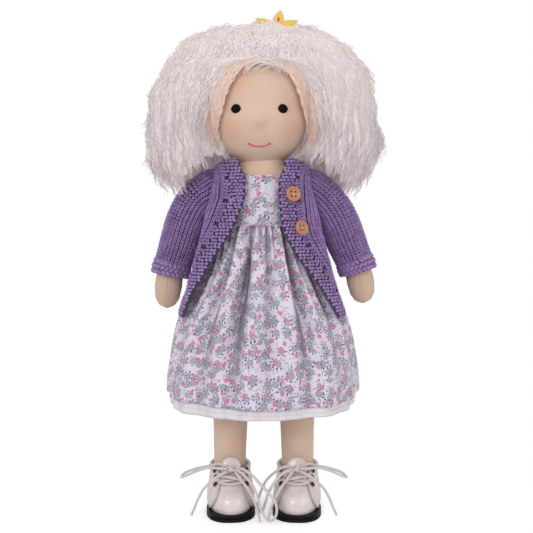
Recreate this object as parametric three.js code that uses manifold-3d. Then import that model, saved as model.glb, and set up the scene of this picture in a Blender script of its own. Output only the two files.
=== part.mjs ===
// A stuffed cloth doll, 40 cm tall, standing in a knitted cardigan, a gathered dress and laced shoes.
// Millimetres, +Z up. The doll stands on z = 0 and faces -Y, so its own left side is +X.
// The origin lies on the floor under the middle of the whole doll.

import * as THREE from "three";
import { mergeVertices } from "three/addons/utils/BufferGeometryUtils.js";
import Module from "manifold-3d";

const wasm = await Module();
wasm.setup();

// Clearances and cloth thicknesses
const GAP = 0.4;
const SKIN_WALL = 1.0;
const COTTON_WALL = 1.2;
const KNIT_WALL = 2.8;
const FELT_WALL = 1.2;
const LEATHER_WALL = 1.6;

// Legs and hips
const HIP_HEIGHT = 158;
const HIP_SPACING = 55;
const HIP_OFFSET = 1.5;
const THIGH_RADIUS = 15;
const CALF_RADIUS = 14.5;
const ANKLE_RADIUS = 13;
const FOOT_LENGTH = 48;
const FOOT_WIDTH = 27;
const FOOT_HEIGHT = 15;
const SEAM_HOLE_RADIUS = 4;

// Torso and neck
const TORSO_HEIGHT = 111.5;
const TORSO_WIDTH = 73;
const TORSO_DEPTH = 56;
const TORSO_SHOULDER = 0.87;
const NECK_RADIUS = 17.8;

// Head and face
const HEAD_OFFSET = -2;
const HEAD_WIDTH = 75;
const HEAD_DEPTH = 82;
const HEAD_HEIGHT = 96;
const NECK_SUNK_IN_HEAD = 7.5;
const EYE_SPACING = 36.4;
const EYE_SHARE_OF_HEAD = 0.44;
const EYE_RADIUS = 3.5;
const EYE_THICKNESS = 1.1;
const NOSE_SHARE_OF_HEAD = 0.335;
const NOSE_RADIUS = 5;
const MOUTH_WIDTH = 17.6;
const MOUTH_SHARE_OF_HEAD = 0.148;
const MOUTH_SAG = 3.4;
const MOUTH_THREAD_RADIUS = 0.65;

// Arms
const SHOULDER_X = 40;
const SHOULDER_DROP = 31;
const ARM_REACH = 93;
const ARM_RADIUS = 12.5;
const HAND_RADIUS = 11.2;

// Hair and clip
const WIG_CAP_WALL = 1.4;
const WIG_CAP_GAP = 1.4;
const HAIR_WIDTH = 193;
const HAIR_DEPTH = 108;
const HAIR_ABOVE_HEAD = 21.5;
const HAIR_BACK_SHIFT = 8;
const LOCK_LENGTH = 22;
const LOCK_INNER_RADIUS = 60;
const PETAL_LENGTH = 19;
const PETAL_WIDTH = 9;
const CLIP_X = 14.5;
const CLIP_Y = 11;
const CLIP_CORE_RADIUS = 5;
const CLIP_STRIP_WIDTH = 8;
const CLIP_STRIP_LENGTH = 22;
const CLIP_STRIP_WALL = 0.8;

// Dress
const WAIST_SHARE_OF_TORSO = 0.498;
const SKIRT_LENGTH = 134.5;
const SKIRT_HEM_WIDTH = 153;
const SKIRT_HEM_DEPTH = 132;
const SKIRT_FOLDS = 14;
const SKIRT_FOLD_DEPTH = 1.5;
const LINING_SHOWS = 9.5;
const NECKLINE_RADIUS = 21.5;
const NECKLINE_DROP = 17;
const ARMHOLE_RADIUS = ARM_RADIUS + 5.5;

// Cardigan
const CARDIGAN_LENGTH = 126;
const CARDIGAN_HEM_WIDTH = 136;
const CARDIGAN_HEM_DEPTH = 123;
const CARDIGAN_SIDE_RISE = 12;
const BAND_WIDTH = 13;
const SLEEVE_RADIUS = 17.2;
const CUFF_RADIUS = 15.4;
const CUFF_LENGTH = 9;
const BUTTON_RADIUS = 6.2;
const BUTTON_THICKNESS = 3;
const BUTTON_HOLE_RADIUS = 0.75;
const BUTTON_HOLE_SPACING = 3;
const THREAD_RADIUS = 0.5;
const BUTTON_DROPS = [30, 56.5];
const BUTTON_XS = [23.3, 29.2];

// Shoes
const SHOE_LENGTH = 64;
const SHOE_WIDTH = 38;
const HEEL_BACK = 24;
const SOLE_WALL = 5;
const WELT = 1.2;
const SHOE_COLLAR_HEIGHT = 33;
const THROAT_WIDTH = 16;
const THROAT_FRONT = 24;
const TONGUE_TOP = 43;
const TOE_IN = 4;
const LACE_RADIUS = 0.9;
const LACE_ROWS = 3;
const KNOT_RADIUS = 2.6;

// Heights that follow from the sizes above
const TORSO_BOTTOM = HIP_HEIGHT + THIGH_RADIUS + 0.1;
const NECK_TOP = TORSO_BOTTOM + TORSO_HEIGHT;
const CHIN = NECK_TOP - NECK_SUNK_IN_HEAD;
const SHOULDER_HEIGHT = NECK_TOP - SHOULDER_DROP;
const WAIST = TORSO_BOTTOM + WAIST_SHARE_OF_TORSO * TORSO_HEIGHT;
const COLLAR_TOP = NECK_TOP - 2;
const HAIR_TOP = CHIN + HEAD_HEIGHT + HAIR_ABOVE_HEAD;
const HAIR_CROWN_BOTTOM = SHOULDER_HEIGHT + SLEEVE_RADIUS + 6;
const ARM_START = TORSO_SHOULDER * (TORSO_WIDTH / 2) + GAP - SHOULDER_X;

// How far a cutting solid runs past what it cuts, and how far a large one runs past the doll
const PAST = 1;
const FAR = 120;

const sideOf = { left: 1, right: -1 };
const X_AXIS = new THREE.Vector3(1, 0, 0);
const Y_AXIS = new THREE.Vector3(0, 1, 0);
const radians = THREE.MathUtils.degToRad;

// Colours, roughness and metalness of each cloth, leather, wood and metal
const COLOURS = {
  skin: [0xe6cdb4, 0.85, 0],
  stuffing: [0xf3efe6, 0.95, 0],
  thread_black: [0x111111, 0.7, 0],
  thread_pink: [0xd9607f, 0.7, 0],
  hair: [0xe8e0e2, 0.8, 0],
  print_cotton: [0xd9d4e2, 0.85, 0],
  white_cotton: [0xe9e2e8, 0.85, 0],
  purple_wool: [0x8a6ba8, 0.9, 0],
  wood: [0xd9a05c, 0.5, 0],
  white_patent: [0xe6dcdc, 0.2, 0],
  black_rubber: [0x141416, 0.5, 0],
  lace_white: [0xe3dad8, 0.8, 0],
  petal_felt: [0xf2c94a, 0.8, 0],
  clip_steel: [0xb9bbc0, 0.3, 1],
};
const MATERIALS = Object.fromEntries(
  Object.entries(COLOURS).map(([name, [color, roughness, metalness]]) => [
    name,
    new THREE.MeshStandardMaterial({ name, color, roughness, metalness }),
  ]),
);

// Geometry and solids

function solid(geometry) {
  const bare = geometry.index ? geometry.toNonIndexed() : geometry.clone();
  bare.deleteAttribute("normal");
  bare.deleteAttribute("uv");
  const merged = mergeVertices(bare, 1e-4);
  return new wasm.Manifold(
    new wasm.Mesh({
      numProp: 3,
      vertProperties: merged.attributes.position.array,
      triVerts: new Uint32Array(merged.index.array),
    }),
  );
}

function geometryOf(made) {
  const mesh = made.getMesh();
  const geometry = new THREE.BufferGeometry();
  geometry.setAttribute("position", new THREE.BufferAttribute(mesh.vertProperties, 3));
  geometry.setIndex(new THREE.BufferAttribute(mesh.triVerts, 1));
  geometry.computeVertexNormals();
  return geometry;
}

function piece(name, made, material) {
  const mesh = new THREE.Mesh(geometryOf(made), MATERIALS[material]);
  mesh.name = name;
  return mesh;
}

// A superellipse of points about a centre; u cross v is the way the loft runs
function ring(centre, u, v, a, b, count, power = 2) {
  return Array.from({ length: count }, (_, i) => {
    const angle = (2 * Math.PI * i) / count;
    const c = Math.cos(angle);
    const s = Math.sin(angle);
    const along = a * Math.sign(c) * Math.abs(c) ** (2 / power);
    const across = b * Math.sign(s) * Math.abs(s) ** (2 / power);
    return centre.clone().addScaledVector(u, along).addScaledVector(v, across);
  });
}

// A closed skin over rings of equal count, with a flat cap on each end
function loft(rings) {
  const count = rings[0].length;
  const points = rings.flat();
  const faces = [];
  for (let r = 0; r + 1 < rings.length; r++)
    for (let i = 0; i < count; i++) {
      const here = r * count + i;
      const next = r * count + ((i + 1) % count);
      faces.push(here, next, next + count, here, next + count, here + count);
    }
  const middle = (points) =>
    points.reduce((sum, p) => sum.add(p), new THREE.Vector3()).divideScalar(points.length);
  const bottom = points.push(middle(rings[0])) - 1;
  const top = points.push(middle(rings.at(-1))) - 1;
  const last = (rings.length - 1) * count;
  for (let i = 0; i < count; i++) {
    const next = (i + 1) % count;
    faces.push(bottom, next, i, top, last + i, last + next);
  }
  return new THREE.BufferGeometry().setFromPoints(points).setIndex(faces);
}

// Level sections given as { z, a, b } with an optional centre x and y
function column(sections, count, power = 2) {
  return solid(
    loft(
      sections.map(({ z, a, b, x = 0, y = 0 }) =>
        ring(new THREE.Vector3(x, y, z), X_AXIS, Y_AXIS, a, b, count, power),
      ),
    ),
  );
}

// Sections moved out by t all round, with both ends moved too
function grown(sections, t) {
  return sections.map((s, i) => {
    const end = i === 0 ? -t : i === sections.length - 1 ? t : 0;
    return { ...s, z: s.z + end, a: s.a + t, b: s.b + t };
  });
}

// The space inside a wall, run past each end that is open
function bore(sections, wall, openBottom, openTop) {
  const inner = grown(sections, -wall);
  if (openBottom) inner[0].z = sections[0].z - PAST;
  if (openTop) inner.at(-1).z = sections.at(-1).z + PAST;
  return inner;
}

// The same shape read off at any height, by straight lines between sections
function sectionAt(sections, z) {
  const i = THREE.MathUtils.clamp(
    sections.findIndex((s) => s.z >= z),
    1,
    sections.length - 1,
  );
  const [low, high] = [sections[i - 1], sections[i]];
  const t = (z - low.z) / (high.z - low.z);
  return { z, a: THREE.MathUtils.lerp(low.a, high.a, t), b: THREE.MathUtils.lerp(low.b, high.b, t) };
}

// A point on the front of an oval column, and the way that the surface faces there
function frontPoint(sections, x, z, power = 2) {
  const at = (x, z) => {
    const { a, b } = sectionAt(sections, z);
    return new THREE.Vector3(x, -b * (1 - Math.abs(x / a) ** power) ** (1 / power), z);
  };
  const point = at(x, z);
  const across = at(x + 1, z).sub(at(x - 1, z));
  const up = at(x, z + 3).sub(at(x, z - 3));
  return { point, facing: across.cross(up).normalize() };
}

// Sections from shares of a height, a half width and a half depth
function shares(rows, bottom, height, width, depth) {
  return rows.map(([h, a, b]) => ({ z: bottom + h * height, a: (a * width) / 2, b: (b * depth) / 2 }));
}

// Oval sections swept along a path that lies in the plane of X and Z
function sweep(path, stations, count) {
  return solid(
    loft(
      stations.map(({ u, a, b }) => {
        const along = path.getTangentAt(u);
        const out = new THREE.Vector3().crossVectors(Y_AXIS, along).normalize();
        return ring(path.getPointAt(u), out, new THREE.Vector3().crossVectors(along, out), a, b, count);
      }),
    ),
  );
}

function box(x0, x1, y0, y1, z0, z1) {
  const geometry = new THREE.BoxGeometry(x1 - x0, y1 - y0, z1 - z0);
  geometry.translate((x0 + x1) / 2, (y0 + y1) / 2, (z0 + z1) / 2);
  return solid(geometry);
}

function upright(radius, x, y, z0, z1, count = 32) {
  const geometry = new THREE.CylinderGeometry(radius, radius, z1 - z0, count);
  geometry.rotateX(Math.PI / 2).translate(x, y, (z0 + z1) / 2);
  return solid(geometry);
}

function extruded(points, depth) {
  return new THREE.ExtrudeGeometry(new THREE.Shape(points), { depth, bevelEnabled: false });
}

// An outline of [x, z] pairs, run from y0 back to y1
function frontPrism(outline, y0, y1) {
  const geometry = extruded(outline.map(([x, z]) => new THREE.Vector2(x, z)), y1 - y0);
  return solid(geometry.rotateX(Math.PI / 2).translate(0, y1, 0));
}

// An outline of [x, y] pairs, run from z0 up to z1
function levelPrism(outline, z0, z1) {
  const geometry = extruded(outline.map(([x, y]) => new THREE.Vector2(x, y)), z1 - z0);
  return solid(geometry.translate(0, 0, z0));
}

// A round cord along a path
function cord(points, radius, steps, sides, closed = false) {
  const path = new THREE.CatmullRomCurve3(points.map((p) => new THREE.Vector3(...p)), closed, "centripetal");
  const section = new THREE.Shape(
    Array.from({ length: sides }, (_, i) => {
      const angle = (2 * Math.PI * i) / sides;
      return new THREE.Vector2(radius * Math.cos(angle), radius * Math.sin(angle));
    }),
  );
  return new THREE.ExtrudeGeometry(section, { steps, extrudePath: path });
}

function group(children, position = [0, 0, 0]) {
  const made = new THREE.Group();
  made.add(...children);
  made.position.set(...position);
  return made;
}

// A jersey skin with a seam opening, and the stuffing inside it
function stuffed(name, shape, opening) {
  const skin = shape(0).subtract(shape(-SKIN_WALL)).subtract(opening);
  const core = shape(-SKIN_WALL - GAP);
  return [piece(`${name}_skin`, skin, "skin"), piece(`${name}_stuffing`, core, "stuffing")];
}

// Torso, from the seat to the top of the neck

const torsoSections = shares(
  [
    [0, 0.84, 0.6],
    [0.05, 0.96, 0.86],
    [0.17, 1, 1],
    [0.36, 0.89, 0.97],
    [0.5, 0.85, 0.95],
    [0.72, TORSO_SHOULDER, 0.9],
    [0.82, 0.84, 0.84],
    [0.9, 0.72, 0.74],
  ],
  TORSO_BOTTOM,
  TORSO_HEIGHT,
  TORSO_WIDTH,
  TORSO_DEPTH,
).concat(
  { z: NECK_TOP - 8.5, a: NECK_RADIUS + 0.6, b: NECK_RADIUS + 0.6 },
  { z: NECK_TOP, a: NECK_RADIUS, b: NECK_RADIUS },
);

function torso() {
  const shape = (t) => column(grown(torsoSections, t), t ? 10 : 14, 2.2);
  const opening = upright(SEAM_HOLE_RADIUS, 0, 0, NECK_TOP - 2 * SKIN_WALL, NECK_TOP + PAST, 10);
  return stuffed("torso", shape, opening);
}

// Head: cheeks below a drawn-in eye line, and the skull above it

const headSections = shares(
  [
    [0, 0.2, 0.2],
    [0.016, 0.4, 0.37],
    [0.058, 0.575, 0.54],
    [0.12, 0.735, 0.71],
    [0.205, 0.88, 0.865],
    [0.3, 0.975, 0.965],
    [0.37, 1, 1],
    [0.44, 0.975, 0.945],
    [0.51, 0.985, 0.945],
    [0.63, 0.97, 0.945],
    [0.755, 0.87, 0.875],
    [0.86, 0.69, 0.73],
    [0.945, 0.45, 0.5],
    [1, 0.12, 0.13],
  ],
  CHIN,
  HEAD_HEIGHT,
  HEAD_WIDTH,
  HEAD_DEPTH,
);
const headHeight = (share) => CHIN + share * HEAD_HEIGHT;

function nose(t) {
  const { point } = frontPoint(headSections, 0, headHeight(NOSE_SHARE_OF_HEAD));
  const geometry = new THREE.SphereGeometry(NOSE_RADIUS + t, 8, 6);
  return solid(geometry.scale(1, 0.9, 0.9).translate(0, point.y + 0.42 * NOSE_RADIUS, point.z));
}

function head() {
  const neck = (t) => upright(1.05 * NECK_RADIUS + t, -HEAD_OFFSET, 0, CHIN - PAST, NECK_TOP + t, 18);
  const outer = column(headSections, 26).add(nose(0));
  const inside = column(bore(headSections, SKIN_WALL), 12).add(nose(-SKIN_WALL));
  const skin = outer.subtract(inside).subtract(neck(GAP));
  const bead = nose(-SKIN_WALL - GAP);
  const core = column(bore(headSections, SKIN_WALL + GAP), 12)
    .subtract(neck(SKIN_WALL + GAP))
    .subtract(nose(-SKIN_WALL));
  return [
    piece("head_skin", skin, "skin"),
    piece("head_stuffing", core, "stuffing"),
    piece("nose_bead", bead, "stuffing"),
  ];
}

function eye(name, side) {
  const height = headHeight(EYE_SHARE_OF_HEAD);
  const { point, facing } = frontPoint(headSections, (side * EYE_SPACING) / 2, height);
  const dome = [
    [0, 0],
    [1, 0],
    [0.92, 0.45],
    [0.62, 0.85],
    [0, 1],
  ].map(([r, h]) => new THREE.Vector2(r * EYE_RADIUS, h * EYE_THICKNESS));
  const made = piece(name, solid(new THREE.LatheGeometry(dome, 16)), "thread_black");
  made.quaternion.setFromUnitVectors(Y_AXIS, facing);
  made.position.copy(point).addScaledVector(facing, GAP);
  return made;
}

function mouth() {
  const low = headHeight(MOUTH_SHARE_OF_HEAD);
  const points = [-1, -0.6, -0.2, 0.2, 0.6, 1].map((t) => {
    const { point, facing } = frontPoint(headSections, (t * MOUTH_WIDTH) / 2, low - MOUTH_SAG * (1 - t * t));
    return point.addScaledVector(facing, GAP + MOUTH_THREAD_RADIUS + 0.3).toArray();
  });
  return piece("mouth_stitch", solid(cord(points, MOUTH_THREAD_RADIUS, 10, 6)), "thread_pink");
}

// Wig: a cap, a crown of hair round the head, and locks that hang from it

const faceArch = [
  [0.5, -0.2],
  [0.5, 0.34],
  [0.47, 0.44],
  [0.4, 0.55],
  [0.33, 0.66],
  [0.25, 0.75],
  [0.13, 0.82],
];

function faceOpening(t) {
  const right = faceArch.map(([x, h]) => [x * HEAD_WIDTH + t, headHeight(h) + t]);
  const left = right.map(([x, z]) => [-x, z]).reverse();
  return frontPrism([...left, ...right].reverse(), -FAR, -HEAD_DEPTH / 10);
}

function wigCap() {
  const edge = box(-FAR, FAR, -FAR, FAR, 0, HAIR_CROWN_BOTTOM + 9);
  const made = column(grown(headSections, WIG_CAP_GAP + WIG_CAP_WALL), 14)
    .subtract(column(grown(headSections, WIG_CAP_GAP), 14))
    .subtract(edge)
    .subtract(faceOpening(2));
  return piece("wig_cap", made, "hair");
}

const hairSections = [
  [-0.24, 0.7, 0.72],
  [-0.14, 0.88, 0.84],
  [0.04, 0.985, 0.94],
  [0.19, 1, 0.98],
  [0.41, 0.975, 1],
  [0.6, 0.935, 1],
  [0.78, 0.88, 0.94],
  [0.96, 0.765, 0.8],
  [1.1, 0.62, 0.62],
  [1.18, 0.5, 0.46],
  [1.224, 0.28, 0.22],
].map(([h, a, b]) => ({
  z: h < 1 ? headHeight(h) : CHIN + HEAD_HEIGHT + ((h - 1) / 0.224) * HAIR_ABOVE_HEAD,
  a: (a * HAIR_WIDTH) / 2,
  b: (b * HAIR_DEPTH) / 2,
  x: -HEAD_OFFSET,
  y: HAIR_BACK_SHIFT,
}));

function clipSlot() {
  const reach = PETAL_LENGTH + CLIP_CORE_RADIUS;
  const deep = HAIR_TOP - PAST - CLIP_STRIP_LENGTH - GAP;
  return box(CLIP_X - reach, CLIP_X + reach, CLIP_Y - 1.5, CLIP_Y + 3.5, deep, HAIR_TOP + PAST);
}

function hair() {
  const mass = column(hairSections, 24, 2.3);
  const skull = headSections.filter((_, i) => i % 2 === 0 || i === headSections.length - 1);
  const head = column(grown(skull, WIG_CAP_GAP + WIG_CAP_WALL + 3), 14);
  const below = (z) => box(-FAR, FAR, -FAR, FAR, 0, z);
  const shoulders = upright(SHOULDER_X + 5, 0, 0, 0, COLLAR_TOP + 2, 28);
  const crown = mass
    .subtract(head)
    .subtract(faceOpening(0))
    .subtract(below(HAIR_CROWN_BOTTOM))
    .subtract(shoulders)
    .subtract(clipSlot());
  return [piece("hair_crown", crown, "hair"), ...locks(mass)];
}

// Hanging ends of the hair: beside each shoulder, and behind the neck
function locks(mass) {
  const top = HAIR_CROWN_BOTTOM - GAP;
  const band = mass.intersect(box(-FAR, FAR, -FAR, FAR, top - LOCK_LENGTH, top));
  const side = (x0, x1) => box(x0, x1, -25, 32, 0, top + PAST);
  const sleeves = ["left", "right"].map((word) => inPlace(sleeveTube(word, 1.2), word, -HEAD_OFFSET));
  const beside = (x0, x1) =>
    band
      .intersect(side(x0, x1))
      .subtract(upright(LOCK_INNER_RADIUS, 0, 0, 0, top + 2 * PAST, 32))
      .subtract(sleeves[0])
      .subtract(sleeves[1]);
  const behind = band
    .intersect(box(-46, 46, 20, FAR, 0, top + PAST))
    .subtract(upright(SHOULDER_X + 5, 0, 0, 0, top + 2 * PAST, 28));
  return [
    piece("locks_left", beside(0, FAR), "hair"),
    piece("locks_right", beside(-FAR, 0), "hair"),
    piece("locks_back", behind, "hair"),
  ];
}

// Hair clip: three felt petals on a sprung steel clip

function petal(angle) {
  const shape = new THREE.Shape();
  const [w, l] = [PETAL_WIDTH, PETAL_LENGTH];
  shape.moveTo(0, 0);
  shape.bezierCurveTo(w * 0.75, l * 0.35, w * 0.5, l * 0.85, 0, l);
  shape.bezierCurveTo(-w * 0.5, l * 0.85, -w * 0.75, l * 0.35, 0, 0);
  const options = { depth: FELT_WALL, bevelEnabled: false, curveSegments: 6 };
  const geometry = new THREE.ExtrudeGeometry(shape, options);
  return solid(geometry.rotateZ(radians(angle)).rotateX(Math.PI / 2));
}

function clip() {
  const core = new THREE.CylinderGeometry(CLIP_CORE_RADIUS, CLIP_CORE_RADIUS, FELT_WALL, 16);
  const flower = [64, 8, -60].reduce(
    (sum, angle) => sum.add(petal(angle)),
    solid(core.translate(0, -FELT_WALL / 2, 0)),
  );
  const low = CLIP_CORE_RADIUS + 3 - CLIP_STRIP_LENGTH;
  const strip = (half, y, z0, z1) => box(-half, half, y, y + CLIP_STRIP_WALL, z0, z1);
  const base = strip(CLIP_STRIP_WIDTH / 2, GAP, low, low + CLIP_STRIP_LENGTH);
  const tongueY = GAP + CLIP_STRIP_WALL + GAP;
  const tongue = strip(CLIP_STRIP_WIDTH / 4, tongueY, low + 2, low + CLIP_STRIP_LENGTH - 2);
  const seat = HAIR_TOP - PAST - CLIP_CORE_RADIUS - 3;
  return group(
    [
      piece("clip_flower", flower, "petal_felt"),
      piece("clip_base", base, "clip_steel"),
      piece("clip_tongue", tongue, "clip_steel"),
    ],
    [CLIP_X, CLIP_Y, seat],
  );
}

// Arm, sleeve and cuff, about the shoulder. Each path runs from the shoulder ball to the finger tips.

const armRoutes = {
  left: [
    [0, 3.5],
    [10, -4.5],
    [20.5, -18.5],
    [31, -43],
    [38, -60],
    [41.5, -75],
    [43, 4 - ARM_REACH],
  ],
  right: [
    [0, 3.5],
    [11.5, -4.5],
    [20.5, -19],
    [28.5, -43],
    [34.5, -61.5],
    [37, -77.5],
    [38, -ARM_REACH],
  ],
};
const armPaths = Object.fromEntries(
  Object.entries(armRoutes).map(([word, points]) => [
    word,
    new THREE.CatmullRomCurve3(points.map(([x, z]) => new THREE.Vector3(x, 0, z))),
  ]),
);
const CUFF_AT = 0.66;
const WRIST_AT = CUFF_AT + 0.01;
const armStations = [
  { u: 0, a: ARM_RADIUS, b: 0.96 * ARM_RADIUS },
  { u: 0.25, a: 0.95 * ARM_RADIUS, b: 0.92 * ARM_RADIUS },
  { u: 0.45, a: 0.88 * ARM_RADIUS, b: 0.84 * ARM_RADIUS },
  { u: WRIST_AT, a: 0.84 * ARM_RADIUS, b: 0.78 * ARM_RADIUS },
  { u: 0.83, a: HAND_RADIUS, b: 0.8 * HAND_RADIUS },
  { u: 0.92, a: 0.86 * HAND_RADIUS, b: 0.7 * HAND_RADIUS },
  { u: 0.975, a: 0.56 * HAND_RADIUS, b: 0.46 * HAND_RADIUS },
  { u: 1, a: 0.2 * HAND_RADIUS, b: 0.18 * HAND_RADIUS },
];
const wrist = armStations.find(({ u }) => u === WRIST_AT);
const sleeveStations = [
  { u: 0, a: SLEEVE_RADIUS, b: 0.95 * SLEEVE_RADIUS },
  { u: 0.28, a: 0.97 * SLEEVE_RADIUS, b: 0.91 * SLEEVE_RADIUS },
  { u: 0.5, a: 0.92 * SLEEVE_RADIUS, b: 0.86 * SLEEVE_RADIUS },
  { u: CUFF_AT, a: 0.85 * SLEEVE_RADIUS, b: 0.8 * SLEEVE_RADIUS },
];

// A rounded shoulder and the tube below it, moved out by t and run past its far end
function limb(word, stations, t, past, count) {
  const path = armPaths[word];
  const end = stations.length - 1;
  const tube = stations.map(({ u, a, b }, i) => ({
    u: Math.min(i === end ? u + past : u, 1),
    a: a + t,
    b: b + t,
  }));
  const ball = new THREE.SphereGeometry(1, count, 5);
  ball.rotateX(Math.PI / 2).scale(stations[0].a + t, stations[0].b + t, stations[0].a + t);
  ball.translate(...path.getPointAt(0).toArray());
  return sweep(path, tube, count).add(solid(ball));
}

function inward(x) {
  return box(-FAR, x, -FAR, FAR, -FAR, FAR);
}

function arm(word) {
  const shape = (t) => limb(word, armStations, t, 0, t ? 8 : 12).subtract(inward(ARM_START - t));
  const seam = new THREE.CylinderGeometry(SEAM_HOLE_RADIUS, SEAM_HOLE_RADIUS, 6, 10);
  seam.rotateZ(Math.PI / 2).translate(ARM_START, 0, armRoutes[word][0][1]);
  return stuffed(`arm_${word}`, shape, solid(seam));
}

function sleeveTube(word, t) {
  return limb(word, sleeveStations, t, 0, 14);
}

function sleeve(word) {
  const inside = limb(word, sleeveStations, -KNIT_WALL, 0.01, 10);
  const around = column(grown(cardiganSections, GAP), 28, CARDIGAN_POWER);
  const body = around.translate([-SHOULDER_X, 0, -SHOULDER_HEIGHT]);
  return piece(`sleeve_${word}`, sleeveTube(word, 0).subtract(inside).subtract(body), "purple_wool");
}

function cuff(word) {
  const path = armPaths[word];
  const start = CUFF_AT + GAP / path.getLength();
  const end = start + CUFF_LENGTH / path.getLength();
  const tube = (r, past) =>
    sweep(
      path,
      [
        { u: start - past, a: r, b: r - (wrist.a - wrist.b) },
        { u: (start + end) / 2, a: r + 0.4, b: r + 0.4 - (wrist.a - wrist.b) },
        { u: end + past, a: r, b: r - (wrist.a - wrist.b) },
      ],
      14,
    );
  const inside = tube(wrist.a + GAP + 0.5, 0.01);
  return piece(`cuff_${word}`, tube(CUFF_RADIUS, 0).subtract(inside), "purple_wool");
}

function placeArm(made, word) {
  made.position.set(sideOf[word] * SHOULDER_X, 0, SHOULDER_HEIGHT);
  made.scale.x = sideOf[word];
  made.updateMatrixWorld(true);
  return made;
}

// A solid of an arm's own frame, where it stands on the doll, then moved along X
function inPlace(made, word, shift = 0) {
  const geometry = geometryOf(made).applyMatrix4(placeArm(new THREE.Group(), word).matrixWorld);
  if (sideOf[word] < 0) geometry.setIndex([...geometry.index.array].reverse());
  return solid(geometry.translate(shift, 0, 0));
}

function armGroup(word) {
  return placeArm(group([...arm(word), sleeve(word), cuff(word)]), word);
}

// Dress: a bodice over the torso, and a gathered skirt over a plain lining

const bodiceSections = [
  { z: WAIST, ...half(sectionAt(torsoSections, WAIST)) },
  ...torsoSections.filter((s) => s.z > WAIST + 2 && s.z < NECK_TOP - 3),
];

function half({ a, b }) {
  return { a, b };
}

function bodice() {
  const neckline = new THREE.SphereGeometry(1, 14, 6);
  neckline.scale(NECKLINE_RADIUS, NECKLINE_RADIUS * 1.25, NECKLINE_DROP);
  neckline.translate(0, -0.2 * NECKLINE_RADIUS, NECK_TOP);
  const armholes = new THREE.CylinderGeometry(ARMHOLE_RADIUS, ARMHOLE_RADIUS, 2 * SHOULDER_X, 16);
  const level = (t) => grown(bodiceSections, t).map((s, i) => ({ ...s, z: bodiceSections[i].z }));
  const inner = level(GAP);
  inner[0].z -= PAST;
  inner.at(-1).z += PAST;
  const made = column(level(GAP + COTTON_WALL), 14, 2.2)
    .subtract(column(inner, 14, 2.2))
    .subtract(solid(neckline))
    .subtract(solid(armholes.rotateZ(Math.PI / 2).translate(0, 0, SHOULDER_HEIGHT)));
  return piece("dress_bodice", made, "print_cotton");
}

const skirtRows = [
  [0, 0, 0, 0.3],
  [0.08, 0.05, 0.07, 0.8],
  [0.19, 0.13, 0.27, 1],
  [0.4, 0.48, 0.52, 1],
  [0.57, 0.76, 0.79, 1],
  [0.77, 0.92, 0.93, 0.9],
  [1, 1, 1, 0.7],
];

const liningRows = [0, 1, 2, 6].map((i) => skirtRows[i]);

// One level of the skirt, drawn in by t, with a few points to each fold
function skirtRing([drop, flare, deepFlare, deep], t, length, pointsPerFold) {
  const waist = sectionAt(torsoSections, WAIST);
  const gathers = 2 * COTTON_WALL + 3 * GAP + SKIRT_FOLD_DEPTH / 2;
  const a = THREE.MathUtils.lerp(waist.a + gathers, SKIRT_HEM_WIDTH / 2, flare) - t;
  const b = THREE.MathUtils.lerp(waist.b + gathers, SKIRT_HEM_DEPTH / 2, deepFlare) - t;
  const level = new THREE.Vector3(0, 0, WAIST - GAP - drop * length);
  const points = pointsPerFold * SKIRT_FOLDS;
  return ring(level, X_AXIS, Y_AXIS, a, b, points, 2.2 - 0.2 * flare).map((point, i) => {
    const out = point.clone().sub(level).normalize();
    return point.addScaledVector(out, deep * SKIRT_FOLD_DEPTH * Math.cos((2 * Math.PI * i) / pointsPerFold));
  });
}

function hangingCloth(name, rows, { inward, length, pointsPerFold }, material) {
  const ends = [[-0.01, ...rows[0].slice(1)], ...rows.slice(1, -1), [1.01, ...rows.at(-1).slice(1)]];
  const rings = (rows, t, points) => rows.map((row) => skirtRing(row, t, length, points)).reverse();
  const skin = (rows, t, points) => solid(loft(rings(rows, t, points)));
  const outside = skin(rows, inward, pointsPerFold);
  return piece(name, outside.subtract(skin(ends, inward + COTTON_WALL, 2)), material);
}

function skirt() {
  const length = SKIRT_LENGTH - GAP;
  const lining = { inward: COTTON_WALL + 2 * GAP, length: length + LINING_SHOWS, pointsPerFold: 2 };
  return [
    hangingCloth("dress_skirt", skirtRows, { inward: 0, length, pointsPerFold: 5 }, "print_cotton"),
    hangingCloth("dress_lining", liningRows, lining, "white_cotton"),
  ];
}

// Cardigan: one knitted wall round the body, parted into back, fronts and bands

const CARDIGAN_POWER = 2.6;
const cardiganRows = [
  [1, 1, 1],
  [0.856, 0.882, 0.93],
  [0.737, 0.765, 0.86],
  [0.626, 0.68, 0.78],
  [0.523, 0.62, 0.715],
  [0.3, 0.588, 0.6],
  [0.08, 0.585, 0.515],
  [0.043, 0.55, 0.49],
  [0, 0.41, 0.42],
];
const cardiganSections = shares(
  cardiganRows.map(([drop, a, b]) => [1 - drop, a, b]),
  COLLAR_TOP - CARDIGAN_LENGTH,
  CARDIGAN_LENGTH,
  CARDIGAN_HEM_WIDTH,
  CARDIGAN_HEM_DEPTH,
);

// Each front edge, as shares of the half hem width and of the cardigan's length below the collar
const frontEdges = {
  left: [
    [0.345, -0.056],
    [0.197, 0.14],
    [0.195, 0.238],
    [0.221, 0.398],
    [0.276, 0.492],
    [0.395, 0.609],
    [0.533, 0.723],
    [0.69, 0.857],
    [0.917, 1.017],
  ],
  right: [
    [0.345, -0.056],
    [0.193, 0.134],
    [0.2, 0.253],
    [0.257, 0.341],
    [0.345, 0.451],
    [0.476, 0.594],
    [0.604, 0.743],
    [0.769, 0.872],
    [0.957, 1.017],
  ],
};

function edgeCurve(word) {
  const points = frontEdges[word].map(
    ([x, drop]) => new THREE.Vector2((x * CARDIGAN_HEM_WIDTH) / 2, COLLAR_TOP - drop * CARDIGAN_LENGTH),
  );
  return new THREE.SplineCurve(points);
}

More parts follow.
